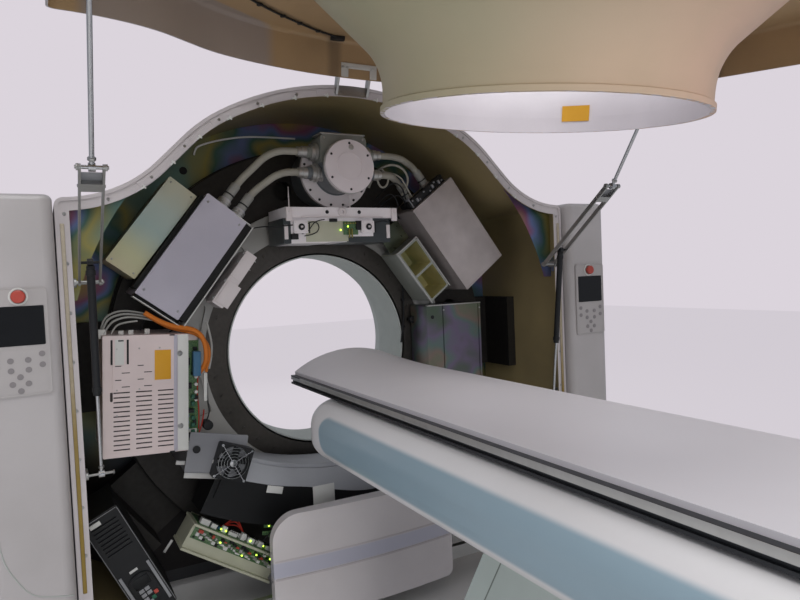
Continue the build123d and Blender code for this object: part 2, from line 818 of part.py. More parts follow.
# Rotor
def make_drum():
    """The drum plate with its lightening holes."""
    with BuildPart() as drum:
        with BuildSketch(facing(DRUM_Y)):
            Circle(DRUM_R)
            Circle(DRUM_IN_R, mode=Mode.SUBTRACT)
            with PolarLocations(650, 16, 11.25):
                Circle(38, mode=Mode.SUBTRACT)
        extrude(amount=DRUM_T)
        chamfer(drum.faces().sort_by(Axis.Y)[0].outer_wire().edges(), 3)
    return drum


def make_bolt_ring():
    with BuildPart() as bolted:
        with BuildSketch(facing(DECK)):
            Circle(BOLT_RING_OUT_R)
            Circle(BOLT_RING_IN_R, mode=Mode.SUBTRACT)
        extrude(amount=BOLT_RING_T)
        with BuildSketch(facing(DECK - BOLT_RING_T)):
            with PolarLocations(BOLT_CIRCLE_R, 36):
                RegularPolygon(BOLT_R, 6)
        extrude(amount=BOLT_H)
    return bolted


def make_cast_ring():
    """The light cast ring round the bore, with pockets."""
    mid = (BOLT_RING_OUT_R + CAST_RING_R) / 2
    with BuildPart() as cast:
        with BuildSketch(facing(DECK)):
            Circle(CAST_RING_R)
            Circle(BOLT_RING_OUT_R + CLEAR, mode=Mode.SUBTRACT)
        extrude(amount=CAST_RING_T)
        with BuildSketch(facing(RING_FACE)):
            with PolarLocations(mid, 12, 15):
                RectangleRounded(60, 150, 12)
        extrude(amount=-14, mode=Mode.SUBTRACT)
    return cast


def make_tube():
    """The X-ray tube's housing: a can, its mounting flange, and the square terminal casting."""
    with BuildPart() as tube:
        for back, front, r in ((DECK, TUBE_WAIST + 17, 118), (TUBE_WAIST + 17, TUBE_WAIST, 140),
                               (TUBE_WAIST, TUBE_FRONT, TUBE_R)):
            with BuildSketch(facing(back, TUBE_X, TUBE_Z)):
                Circle(r)
            extrude(amount=back - front)
        with BuildSketch(facing(TUBE_WAIST, TUBE_X, TUBE_Z + CASTING_H / 2)):
            RectangleRounded(CASTING_W, CASTING_H, 20)
        extrude(amount=88)
        for height in TUBE_SOCKETS:
            for side in (-1, 1):
                with BuildSketch(Plane(origin=(TUBE_X + side * 60, HOSE_Y, ISO_Z + TUBE_Z + height),
                                       x_dir=(0, 1, 0), z_dir=(side, 0, 0))):
                    Circle(TUBE_SOCKET_R)
                extrude(amount=75)
    return tube


def make_tube_flange():
    with BuildPart() as flange:
        with BuildSketch(facing(TUBE_FRONT, TUBE_X, TUBE_Z)):
            Circle(97)
        extrude(amount=16)
        with BuildSketch(facing(TUBE_FRONT - 16, TUBE_X, TUBE_Z)):
            Circle(52)
            Circle(47, mode=Mode.SUBTRACT)
            with PolarLocations(84, 6, 30):
                Circle(4.5)
        extrude(amount=2)
    return flange


def make_collimator():
    """The beam-shaping box below the tube: top rail, arched body and two motors."""
    with BuildPart() as collimator:
        with BuildSketch(facing(COLLIMATOR_BACK)):
            with Locations((0, COLLIMATOR_Z)):
                Rectangle(COLLIMATOR_W, COLLIMATOR_H)
            Circle(418, mode=Mode.SUBTRACT)
        extrude(amount=COLLIMATOR_T)
        with BuildSketch(facing(COLLIMATOR_BACK)):
            with Locations((RAIL_BAR_X, RAIL_BAR_Z)):
                Rectangle(RAIL_BAR_W, RAIL_BAR_H)
        extrude(amount=RAIL_BAR_T)
        for x in STEPPER_X:
            with BuildSketch(facing(COLLIMATOR_BACK - COLLIMATOR_T, x, STEPPER_Z)):
                RectangleRounded(52, 46, 4)
            extrude(amount=20)
            with BuildSketch(facing(COLLIMATOR_BACK - COLLIMATOR_T - 20, x, STEPPER_Z)):
                Circle(13)
            extrude(amount=6)
        with BuildSketch(facing(RING_FACE)):
            with Locations((-150, RAIL_BAR_Z - 7), (150, RAIL_BAR_Z - 7)):
                Rectangle(50, 46)
        extrude(amount=RING_FACE - COLLIMATOR_BACK)
    return collimator


def module(x, z, length, width, turn, front, back=DECK, rounding=4):
    """A box that stands on the rotor, given by its centre, its sides, its turn and its front."""
    with BuildPart() as made:
        with BuildSketch(facing(back, x, z, turn)):
            RectangleRounded(length, width, rounding)
        extrude(amount=back - front)
    return made.part


def make_power_supply():
    """The power supply with louvres and two long slots in its face, and a flange on its right."""
    face = facing(POWER_FRONT, POWER_X, POWER_Z, POWER_TURN)
    with BuildPart() as supply:
        add(module(POWER_X, POWER_Z, POWER_W, POWER_H, POWER_TURN, POWER_FRONT))
        with BuildSketch(face):
            for column in (-74, -8, 58):
                with Locations((column, -78)):
                    with GridLocations(1, 15, 1, 13):
                        Rectangle(48, 4)
            for column in (-104, 104):
                with Locations((column, 60)):
                    SlotOverall(150, 8, rotation=90)
        extrude(amount=-4, mode=Mode.SUBTRACT)
        with BuildSketch(face.offset(-90)):
            with Locations((POWER_W / 2 + 22, 0)):
                Rectangle(44, POWER_H - 12)
        extrude(amount=3)
    return supply


def make_fan_frame():
    """The fan's square frame, with the spider that carries its hub."""
    back = facing(FAN_BACK, FAN_X, FAN_Z, FAN_TURN)
    with BuildPart() as frame:
        with BuildSketch(back):
            RectangleRounded(FAN_SIZE, FAN_SIZE, 8)
            Circle(FAN_R + 2, mode=Mode.SUBTRACT)
            with GridLocations(105, 105, 2, 2):
                Circle(2.5, mode=Mode.SUBTRACT)
        extrude(amount=FAN_T)
        with BuildSketch(back):
            Circle(22)
            Rectangle(FAN_SIZE - 4, 7)
            Rectangle(7, FAN_SIZE - 4)
        extrude(amount=5)
    return frame


def make_fan_blades():
    """Seven pitched blades on the hub."""
    with BuildPart() as fan:
        with BuildSketch(facing(FAN_BACK - 5 - CLEAR, FAN_X, FAN_Z)):
            Circle(21)
        extrude(amount=26)
        for angle in range(0, 360, 60):
            out = (cos(radians(angle)), 0, sin(radians(angle)))
            pitch = (-sin(radians(angle)) * 0.6, -0.8, cos(radians(angle)) * 0.6)
            centre = (FAN_X + 35 * out[0], FAN_BACK - 19, ISO_Z + FAN_Z + 35 * out[2])
            with BuildSketch(Plane(origin=centre, x_dir=out, z_dir=pitch)):
                RectangleRounded(34, 22, 8)
            extrude(amount=1, both=True)
    return fan


def make_fan_bracket():
    """The sheet bracket behind the fan, with a round hole and a side that reaches the drum."""
    with BuildPart() as bracket:
        with BuildSketch(facing(FAN_BACK + BRACKET_T, BRACKET_X, BRACKET_Z, BRACKET_TURN)):
            RectangleRounded(BRACKET_W, BRACKET_H, 6)
            with Locations((-72, 12)):
                Circle(12, mode=Mode.SUBTRACT)
        extrude(amount=BRACKET_T)
        with BuildSketch(facing(FAN_BACK + BRACKET_T, FAN_X, FAN_Z)):
            Circle(FAN_R / 2)
        extrude(amount=BRACKET_T, mode=Mode.SUBTRACT)
        with BuildSketch(facing(DECK, BRACKET_X, BRACKET_Z, BRACKET_TURN)):
            with Locations((2 - BRACKET_W / 2, -33)):
                Rectangle(4, 60)
        extrude(amount=DECK - FAN_BACK - BRACKET_T)
    return bracket


def sector(r_in, r_out, half):
    """The face between two arcs about the tube's focus, below the bore."""
    def at(r, a):
        return (r * sin(radians(a)), FOCUS_Z - r * cos(radians(a)))
    with BuildSketch() as face:
        with BuildLine():
            ThreePointArc(at(r_out, -half), at(r_out, 0), at(r_out, half))
            Line(at(r_out, half), at(r_in, half))
            ThreePointArc(at(r_in, half), at(r_in, 0), at(r_in, -half))
            Line(at(r_in, -half), at(r_out, -half))
        make_face()
    return face.sketch


def make_detector():
    """The detector's arc-shaped box with its front lid, on a rib that stands on the drum."""
    with BuildPart() as detector:
        with BuildSketch(facing(DETECTOR_BACK)):
            add(sector(DETECTOR_IN, DETECTOR_OUT, DETECTOR_HALF))
        extrude(amount=DETECTOR_BACK - DETECTOR_FRONT)
        with BuildSketch(facing(DETECTOR_FRONT)):
            add(sector(DETECTOR_IN + 14, DETECTOR_OUT - 60, DETECTOR_HALF - 1))
        extrude(amount=8)
        with BuildSketch(facing(DECK)):
            add(sector(DETECTOR_OUT - 64, DETECTOR_OUT - 20, DETECTOR_HALF - 2))
        extrude(amount=DECK - DETECTOR_BACK)
    return detector


def make_board_module():
    """A tray of boards between two side rails, across the bottom left of the rotor."""
    reach, angle = DETECTOR_OUT + BOARD_GAP, radians(BOARD_ANGLE)
    x, z = -reach * sin(angle), FOCUS_Z - reach * cos(angle)
    plane = facing(DETECTOR_BACK, x, z, BOARD_TURN)
    with BuildPart() as tray:
        with BuildSketch(plane):
            Rectangle(BOARD_L, BOARD_W)
        extrude(amount=120)
        with BuildSketch(plane):
            with GridLocations(1, BOARD_W + BOARD_RAIL_W, 1, 2):
                Rectangle(BOARD_L + 10, BOARD_RAIL_W)
        extrude(amount=140)
        with BuildSketch(facing(DECK, x, z, BOARD_TURN)):
            with Locations((0, 20)):
                with GridLocations(240, 1, 2, 1):
                    Rectangle(40, 38)
        extrude(amount=DECK - DETECTOR_BACK)
    return tray


def socket_planes(x, z, turn, reach, places, y):
    """The planes of a tank's cable sockets, on its end that lies at that reach from its centre."""
    end = facing(y, x, z, turn)
    outward = end.x_dir * (1 if reach > 0 else -1)
    return [Plane(origin=end.from_local_coords((reach, across, 0)), x_dir=(0, 1, 0), z_dir=outward)
            for across in places]


def make_left_tank():
    """The high-voltage tank on the left, with two cable sockets on its upper end."""
    with BuildPart() as tank:
        add(module(LEFT_TANK_X, LEFT_TANK_Z, LEFT_TANK_L, LEFT_TANK_W, LEFT_TANK_TURN, LEFT_TANK_FRONT))
        for plane in socket_planes(LEFT_TANK_X, LEFT_TANK_Z, LEFT_TANK_TURN, LEFT_TANK_L / 2,
                                   LEFT_SOCKETS, LEFT_SOCKET_Y):
            with BuildSketch(plane):
                Circle(19)
            extrude(amount=TANK_SOCKET_L)
    return tank


def make_right_tank():
    """The high-voltage tank on the right, with a turned rim and two cable sockets."""
    with BuildPart() as tank:
        add(module(RIGHT_TANK_X, RIGHT_TANK_Z, RIGHT_TANK_L, RIGHT_TANK_W, RIGHT_TANK_TURN, RIGHT_TANK_FRONT))
        with BuildSketch(facing(RIGHT_TANK_FRONT, RIGHT_TANK_X, RIGHT_TANK_Z, RIGHT_TANK_TURN)):
            RectangleRounded(RIGHT_TANK_L, RIGHT_TANK_W, 4)
            RectangleRounded(RIGHT_TANK_L - 8, RIGHT_TANK_W - 8, 2, mode=Mode.SUBTRACT)
        extrude(amount=3)
        for plane in socket_planes(RIGHT_TANK_X, RIGHT_TANK_Z, RIGHT_TANK_TURN, -RIGHT_TANK_L / 2,
                                   RIGHT_SOCKETS, RIGHT_SOCKET_Y):
            with BuildSketch(plane):
                Circle(22)
            extrude(amount=TANK_SOCKET_L)
    return tank


def make_bay_frame():
    """A folded sheet frame with two deep bays, between the bore and the right tank."""
    bay = facing(BAY_FRONT, BAY[0], BAY[1], BAY[4])
    with BuildPart() as frame:
        add(module(*BAY, BAY_FRONT, back=RING_FACE, rounding=6))
        with BuildSketch(bay):
            with GridLocations(BAY[2] / 2 - BAY_T, 1, 2, 1):
                RectangleRounded(BAY_POCKET_L, BAY_POCKET_W, 5)
        extrude(amount=BAY_FRONT - RING_FACE + BAY_T, mode=Mode.SUBTRACT)
    return frame


def make_lower_right_box():
    """The box on the lower right, with two raised seams down its lid."""
    with BuildPart() as box:
        add(module(LOW_BOX_X, LOW_BOX_Z, LOW_BOX_W, LOW_BOX_H, 0, LOW_BOX_FRONT, back=RING_FACE, rounding=8))
        with BuildSketch(facing(LOW_BOX_FRONT, LOW_BOX_X, LOW_BOX_Z)):
            with Locations((-56, 0)):
                Rectangle(4, LOW_BOX_H - 6)
            with Locations((128, 0)):
                Rectangle(8, LOW_BOX_H - 6)
        extrude(amount=4)
    return box


def make_inverter_box():
    with BuildPart() as box:
        add(module(*INVERTER_BOX, INVERTER_BOX_FRONT))
    return box


def make_slim_module():
    """A slim box on a folded sheet stand, beside the bore."""
    with BuildPart() as slim:
        add(module(*SLIM_MODULE, SLIM_FRONT, back=SLIM_BACK, rounding=3))
        with BuildSketch(facing(RING_FACE, SLIM_MODULE[0], SLIM_MODULE[1], SLIM_MODULE[4])):
            with Locations((0, 14)):
                Rectangle(SLIM_MODULE[2] - 27, 5)
        extrude(amount=RING_FACE - SLIM_BACK)
    return slim


def bend_radii(points):
    """The largest radii that the straight runs between these points leave room for."""
    spots = [Vector(point) for point in points]
    radii = []
    for before, corner, after in zip(spots, spots[1:], spots[2:]):
        turn = radians((corner - before).get_angle(after - corner))
        shorter = min((corner - before).length, (after - corner).length)
        radii.append(0.45 * shorter / tan(turn / 2))
    return radii


def hose(points, diameter):
    """A tube along straight runs that are joined by arcs."""
    with BuildPart() as made:
        with BuildLine() as route:
            FilletPolyline(*points, radius=bend_radii(points))
        with BuildSketch(Plane(origin=route.line @ 0, z_dir=route.line % 0)):
            Circle(diameter / 2)
        sweep()
    return made.part


def make_hoses():
    """The four high-voltage hoses from the tanks to the X-ray tube."""
    left = socket_planes(LEFT_TANK_X, LEFT_TANK_Z, LEFT_TANK_TURN, LEFT_TANK_L / 2, LEFT_SOCKETS,
                         LEFT_SOCKET_Y)
    right = socket_planes(RIGHT_TANK_X, RIGHT_TANK_Z, RIGHT_TANK_TURN, -RIGHT_TANK_L / 2, RIGHT_SOCKETS,
                          RIGHT_SOCKET_Y)
    low, high = (ISO_Z + TUBE_Z + height for height in TUBE_SOCKETS)
    near, far = TUBE_X - 135, TUBE_X + 135
    hoses = []
    for socket, bend_x, end_x, end_z in ((left[0], -205, near, low), (left[1], -235, near, high),
                                         (right[0], 245, far, low), (right[1], 285, far, high)):
        start = socket.origin + socket.z_dir * TANK_SOCKET_L
        first = start + socket.z_dir * 80
        hoses.append(hose((start, first, (bend_x, HOSE_Y, end_z), (end_x, HOSE_Y, end_z)), HOSE_D))
    with BuildPart() as made:
        for piece in hoses:
            add(piece)
    return made


# Raised front cover
COVER_LEAN = radians(90 - COVER_OPEN)
COVER_UP = (0, cos(COVER_LEAN), sin(COVER_LEAN))
COVER_OUT = (0, -sin(COVER_LEAN), cos(COVER_LEAN))
COVER_ISO = HINGE_Z - ISO_Z          # distance of the bore axis from the hinge when shut
COVER_FACE = COVER_EDGE + COVER_DEPTH


def cover_plane(out, up=0.0):
    """A plane along the raised cover, at that distance outward from the hinge pin."""
    origin = (0, HINGE_Y + out * COVER_OUT[1] + up * COVER_UP[1],
              HINGE_Z + out * COVER_OUT[2] + up * COVER_UP[2])
    return Plane(origin=origin, x_dir=(1, 0, 0), z_dir=COVER_OUT)


def cover_block(inset, front, rounding):
    """The solid under the cover's outline, smaller by the inset, with its outer edge rounded."""
    low = -MOUTH_R - MOUTH_RIM
    with BuildPart() as block:
        with BuildSketch(cover_plane(COVER_EDGE, -COVER_ISO)):
            add(bell(inset, low_z=low, low_round=COVER_LOW_ROUND))
        extrude(amount=front - COVER_EDGE)
        fillet(block.faces().sort_by(Axis((0, 0, 0), COVER_OUT))[-1].edges(), rounding)
    return block.part


def make_cover():
    """The moulded front cover: a tray with a round mouth."""
    outside = cover_block(0, COVER_FACE, COVER_ROUND)
    inside = cover_block(COVER_WALL, COVER_FACE - COVER_WALL, COVER_ROUND - COVER_WALL)
    with BuildPart() as cover:
        add(outside)
        add(inside, mode=Mode.SUBTRACT)
        with BuildSketch(cover_plane(COVER_EDGE, -COVER_ISO)):
            Circle(MOUTH_R + CLEAR)
        extrude(amount=COVER_DEPTH, mode=Mode.SUBTRACT)
    return cover


def make_funnel():
    """The trumpet that lines the mouth: straight at its rim, then flaring to the cover's face."""
    centre = cover_plane(0, -COVER_ISO).origin
    side = Plane(origin=centre, x_dir=(1, 0, 0), z_dir=(0, -COVER_UP[1], -COVER_UP[2]))
    w, r, rim = FUNNEL_WALL, FUNNEL_R, FUNNEL_RIM
    bend = rim + 38

    def arc(angle, grow):
        reach = FUNNEL_BEND - grow
        return (r + FUNNEL_BEND - reach * cos(radians(angle)), bend + reach * sin(radians(angle)))
    with BuildPart() as funnel:
        with BuildSketch(side):
            with BuildLine():
                Line((r, rim), (r, bend))
                ThreePointArc((r, bend), arc(23, 0), arc(46, 0))
                Line(arc(46, 0), (530, 40))
                ThreePointArc((530, 40), (574, 76), (MOUTH_R - 8, COVER_FACE))
                Polyline((MOUTH_R - 8, COVER_FACE), (MOUTH_R, COVER_FACE), (MOUTH_R, COVER_FACE - 9))
                ThreePointArc((MOUTH_R, COVER_FACE - 9), (577, 69), (533, 34))
                Line((533, 34), arc(46, w))
                ThreePointArc(arc(46, w), arc(23, w), (r + w, bend))
                Polyline((r + w, bend), (r + w, rim + 14), (r + w + FUNNEL_LIP, rim + 11),
                         (r + w + FUNNEL_LIP, rim), (r, rim))
            make_face()
        revolve(axis=Axis(centre, COVER_OUT))
    return funnel


def make_cover_hinge():
    """The knuckle and its leaf on the cover's upper edge, and the clevis of each prop's rod."""
    half = BRACKET_HALF_W - EAR_T - CLEAR
    seat = COVER_ISO - BELL_R - CLEAR
    ceiling = COVER_FACE - COVER_WALL
    reach = ((ROD_TOP[0] - HINGE_Y) * COVER_UP[1] + (ROD_TOP[1] - HINGE_Z) * COVER_UP[2],
             (ROD_TOP[0] - HINGE_Y) * COVER_OUT[1] + (ROD_TOP[1] - HINGE_Z) * COVER_OUT[2])

    def side_plane(x):
        return Plane(origin=(x, HINGE_Y, HINGE_Z), x_dir=COVER_UP, z_dir=(1, 0, 0))
    with BuildPart() as hinge:
        with BuildSketch(side_plane(-half)):
            Circle(KNUCKLE_R)
            with Locations((-seat / 2, 0)):
                Rectangle(seat, 24)
            Circle(PIN_R + CLEAR, mode=Mode.SUBTRACT)
        extrude(amount=2 * half)
        for side in (-1, 1):
            cheek = side * (PROP_X + EYE_T / 2 + CLEAR)
            with BuildSketch(side_plane(cheek)):
                with Locations((reach[0], (reach[1] + ceiling) / 2)):
                    Rectangle(30, ceiling - reach[1])
                with Locations(reach):
                    Circle(15)
            extrude(amount=side * 6)
            with BuildSketch(side_plane(cheek)):
                with Locations(reach):
                    Circle(KNEE_PIN_R)
            extrude(amount=-side * (EYE_T + 4))
    return hinge


# Cover props
def make_fork(side):
    """Two flat legs with an eye at the foot, joined by a block near the knee."""
    x = side * PROP_X
    run = hypot(KNEE[0] - FORK_PIVOT[0], KNEE[1] - FORK_PIVOT[1])
    turn = slant(FORK_PIVOT, KNEE)
    middle = along(FORK_PIVOT, KNEE, run / 2)
    block = along(FORK_PIVOT, KNEE, run - KNEE_BLOCK)
    with BuildPart() as fork:
        for inner in (x + FORK_GAP / 2, x - FORK_GAP / 2 - LEG_BAR_T):
            with BuildSketch(sideways(inner)):
                with Locations(Location((*middle, 0), (0, 0, turn))):
                    SlotCenterToCenter(run, LEG_BAR_W)
                with Locations(FORK_PIVOT):
                    Circle(FORK_PIN_R + 4)
                    Circle(FORK_PIN_R + CLEAR, mode=Mode.SUBTRACT)
            extrude(amount=LEG_BAR_T)
        with BuildSketch(sideways(x - FORK_GAP / 2)):
            with Locations(Location((*block, 0), (0, 0, turn))):
                Rectangle(26, LEG_BAR_W)
        extrude(amount=FORK_GAP)
    return fork


def make_cover_rod(side):
    """The rod from the knee to the cover: an eye at the top, and the knee pin at the bottom."""
    x = side * PROP_X
    length = hypot(ROD_TOP[0] - KNEE[0], ROD_TOP[1] - KNEE[1])
    direction = (0, (ROD_TOP[0] - KNEE[0]) / length, (ROD_TOP[1] - KNEE[1]) / length)
    low = along(KNEE, ROD_TOP, EYE_R - 2)
    with BuildPart() as rod:
        with BuildSketch(sideways(x - EYE_T / 2)):
            with Locations(KNEE, ROD_TOP):
                Circle(EYE_R)
        extrude(amount=EYE_T)
        with BuildSketch(Plane(origin=(x, low[0], low[1]), z_dir=direction)):
            Circle(PROP_ROD_R)
        extrude(amount=length - 2 * (EYE_R - 2))
        with BuildSketch(sideways(x - EYE_T / 2)):
            with Locations(ROD_TOP):
                Circle(KNEE_PIN_R + CLEAR)
        extrude(amount=EYE_T, mode=Mode.SUBTRACT)
        with BuildSketch(sideways(x - FORK_GAP / 2 + CLEAR)):
            with Locations(KNEE):
                Circle(KNEE_PIN_R)
        extrude(amount=FORK_GAP - 2 * CLEAR)
    return rod


BALL_HIGH = along(FORK_PIVOT, KNEE, FORK_BALL)
GAS_LENGTH = hypot(BALL_HIGH[0] - BALL_LOW[0], BALL_HIGH[1] - BALL_LOW[1])
CYLINDER_START = GAS_LENGTH - EYE_R + 1 - CYLINDER_L


def gas_plane(x, distance):
    """A plane across the gas spring, at that distance from its lower ball."""
    spot = along(BALL_LOW, BALL_HIGH, distance)
    direction = (0, (BALL_HIGH[0] - BALL_LOW[0]) / GAS_LENGTH, (BALL_HIGH[1] - BALL_LOW[1]) / GAS_LENGTH)
    return Plane(origin=(x, spot[0], spot[1]), z_dir=direction)


def make_gas_cylinder(side):
    """The gas spring's cylinder, bored for its rod, with the pin of its upper end."""
    x = side * PROP_X
    with BuildPart() as cylinder:
        with BuildSketch(gas_plane(x, CYLINDER_START)):
            Circle(CYLINDER_R)
        extrude(amount=CYLINDER_L)
        with BuildSketch(gas_plane(x, CYLINDER_START)):
            Circle(GAS_ROD_R + CLEAR)
        extrude(amount=CYLINDER_L - 20, mode=Mode.SUBTRACT)
        with BuildSketch(sideways(x - EYE_T / 2)):
            with Locations(BALL_HIGH):
                Circle(EYE_R)
        extrude(amount=EYE_T)
        with BuildSketch(sideways(x - FORK_GAP / 2 + CLEAR)):
            with Locations(BALL_HIGH):
                Circle(BALL_R)
        extrude(amount=FORK_GAP - 2 * CLEAR)
    return cylinder


def make_gas_rod(side):
    """The gas spring's polished rod, with the eye on its lower pivot."""
    x = side * PROP_X
    start = EYE_R - 1
    with BuildPart() as rod:
        with BuildSketch(gas_plane(x, start)):
            Circle(GAS_ROD_R)
        extrude(amount=CYLINDER_START - start + 100)
        with BuildSketch(sideways(x - EYE_T / 2)):
            with Locations(BALL_LOW):
                Circle(EYE_R)
        extrude(amount=EYE_T)
        with BuildSketch(sideways(x - EYE_T / 2)):
            with Locations(BALL_LOW):
                Circle(BALL_R + CLEAR)
        extrude(amount=EYE_T, mode=Mode.SUBTRACT)
    return rod


# Patient table
LEG_DIR = (-sin(radians(LEG_TILT)), cos(radians(LEG_TILT)))
LEG_HEAD = (LEG_FOOT[0] + LEG_LENGTH * LEG_DIR[0], LEG_FOOT[1] + LEG_LENGTH * LEG_DIR[1])
BEAM_REAR_Y = BEAM_FRONT_Y - BEAM_LENGTH


def make_table_base():
    """The floor plate with two ears for the leg, and the pin of the levelling rod."""
    y, z = LEG_FOOT
    pad = FOOT_PLATE_T + FOOT_PAD_T
    with BuildPart() as base:
        with BuildSketch(Plane.XY):
            with Locations((0, FOOT_PLATE_Y)):
                RectangleRounded(FOOT_PLATE_W, FOOT_PLATE_L, 40)
        extrude(amount=FOOT_PLATE_T)
        with BuildSketch(Plane.XY.offset(FOOT_PLATE_T)):
            with Locations((0, y - 40)):
                RectangleRounded(300, 330, 20)
        extrude(amount=FOOT_PAD_T)
        for side in (-1, 1):
            with BuildSketch(sideways(side * EAR_X - LUG_T / 2)):
                with BuildLine():
                    Polyline((y - LINK_OFFSET - 20, pad), (y + 24, pad), (y + 24, z), (y + 10, z + 24),
                             (y - LINK_OFFSET, z + 24), (y - LINK_OFFSET - 20, z + 4),
                             (y - LINK_OFFSET - 20, pad))
                make_face()
                with Locations(LEG_FOOT):
                    Circle(LEG_PIN_R + CLEAR, mode=Mode.SUBTRACT)
            extrude(amount=LUG_T)
        with BuildSketch(sideways(-EAR_X)):
            with Locations((y - LINK_OFFSET, z)):
                Circle(LINK_PIN_R)
        extrude(amount=2 * EAR_X)
        with Locations((0, FOOT_PLATE_Y, FOOT_PLATE_T)):
            with GridLocations(FOOT_PLATE_W - 80, FOOT_PLATE_L - 100, 2, 2):
                Hole(ANCHOR_R, depth=FOOT_PLATE_T)
    return base


def leg_outline(radius):
    mid = along(LEG_FOOT, LEG_HEAD, LEG_LENGTH / 2)
    with BuildSketch() as face:
        with Locations(Location((*mid, 0), (0, 0, 90 + LEG_TILT))):
            SlotCenterToCenter(LEG_LENGTH, 2 * radius)
    return face.sketch


def make_leg():
    """The slanted lifting leg: a hollow casting with open skins round both of its pins."""
    inner = LEG_HALF_W - LEG_SKIN
    with BuildPart() as leg:
        with BuildSketch(sideways(-LEG_HALF_W)):
            add(leg_outline(LEG_R))
        extrude(amount=2 * LEG_HALF_W)
        with BuildSketch(sideways(-inner)):
            add(leg_outline(LEG_R - LEG_SKIN))
            for end in (LEG_FOOT, LEG_HEAD):
                with Locations(Location((*end, 0), (0, 0, 90 + LEG_TILT))):
                    Rectangle(2 * LEG_OPEN, 4 * LEG_R)
        extrude(amount=2 * inner, mode=Mode.SUBTRACT)
        with BuildSketch(sideways(-LEG_HALF_W + 1)):
            with Locations(LEG_FOOT, LEG_HEAD):
                Circle(LEG_PIN_R)
        extrude(amount=2 * LEG_HALF_W - 2)
    return leg


def make_levelling_rod():
    """The rod that keeps the beam level, parallel to the leg and inside it."""
    start = (LEG_FOOT[0] - LINK_OFFSET, LEG_FOOT[1])
    end = (LEG_HEAD[0] - LINK_OFFSET, LEG_HEAD[1])
    with BuildPart() as rod:
        with BuildSketch(sideways(-LINK_T / 2)):
            with Locations(Location((*along(start, end, LEG_LENGTH / 2), 0), (0, 0, 90 + LEG_TILT))):
                SlotCenterToCenter(LEG_LENGTH, LINK_W)
            with Locations(start):
                Circle(LINK_PIN_R + CLEAR, mode=Mode.SUBTRACT)
            with Locations(end):
                Circle(LINK_PIN_R + 1, mode=Mode.SUBTRACT)
        extrude(amount=LINK_T)
    return rod


def beam_block(inset):
    """The beam's rounded block, smaller by the inset on every side."""
    front, rear = BEAM_FRONT_Y - inset, BEAM_REAR_Y + inset
    with BuildPart() as block:
        with BuildSketch(Plane.XY.offset(BEAM_BOTTOM_Z + inset)):
            with Locations((0, (front + rear) / 2)):
                RectangleRounded(2 * (BEAM_HALF_W - inset), front - rear, BEAM_PLAN_ROUND - inset)
        extrude(amount=BEAM_TOP_Z - BEAM_BOTTOM_Z - 2 * inset)
        fillet(block.faces().sort_by(Axis.Z)[-1].edges(), BEAM_TOP_ROUND - inset)
        fillet(block.faces().sort_by(Axis.Z)[0].edges(), BEAM_LOW_ROUND - inset)
    return block.part


def make_beam_cover():
    """The beam's moulded shell, with the slot below for the leg and two guide strips on top."""
    outside = beam_block(0)
    inside = beam_block(BEAM_WALL)
    strip_h = CRADLE_BOTTOM_Z - BEAM_TOP_Z - CLEAR
    with BuildPart() as beam:
        add(outside)
        add(inside, mode=Mode.SUBTRACT)
        with Locations((0, (SLOT_FRONT_Y + SLOT_REAR_Y) / 2, BEAM_BOTTOM_Z)):
            Box(2 * (LEG_HALF_W + 8), SLOT_FRONT_Y - SLOT_REAR_Y, 4 * BEAM_WALL, mode=Mode.SUBTRACT)
        with BuildSketch(Plane.XY.offset(BEAM_TOP_Z)):
            with Locations((0, (BEAM_FRONT_Y + BEAM_REAR_Y) / 2)):
                with GridLocations(2 * GUIDE_X, 1, 2, 1):
                    Rectangle(GUIDE_W, BEAM_LENGTH - 4 * BEAM_TOP_ROUND)
        extrude(amount=strip_h)
    return beam


def make_beam_frame():
    """The steel frame inside the beam: two channels, a deck, cross plates and the leg's ears."""
    top = BEAM_TOP_Z - BEAM_WALL - CLEAR
    front, rear = BEAM_FRONT_Y - 140, BEAM_REAR_Y + 140
    y, z = LEG_HEAD
    with BuildPart() as frame:
        with Locations((0, (front + rear) / 2, BEAM_TOP_Z - 78)):
            with GridLocations(2 * CHANNEL_X, 1, 2, 1):
                Box(CHANNEL_W, front - rear, CHANNEL_H)
        with Locations((0, (front + rear) / 2, top - 4)):
            Box(300, front - rear, 8)
        with Locations((0, front - 60, top - 30), (0, rear + 60, top - 30), (0, SLOT_FRONT_Y + 85, top - 30),
                       (0, SLOT_REAR_Y - 90, top - 30)):
            Box(2 * CHANNEL_X - 20, 40, 45)
        for side in (-1, 1):
            with BuildSketch(sideways(side * EAR_X - LUG_T / 2)):
                with BuildLine():
                    Polyline((y + 26, top - 4), (y + 26, z - 6), (y + 8, z - 26), (y - LINK_OFFSET - 8, z - 26),
                             (y - LINK_OFFSET - 22, z - 8), (y - LINK_OFFSET - 22, top - 4), (y + 26, top - 4))
                make_face()
                with Locations(LEG_HEAD):
                    Circle(LEG_PIN_R + CLEAR, mode=Mode.SUBTRACT)
            extrude(amount=LUG_T)
        with BuildSketch(sideways(-EAR_X)):
            with Locations((y - LINK_OFFSET, z)):
                Circle(LINK_PIN_R)
        extrude(amount=2 * EAR_X)
    return frame


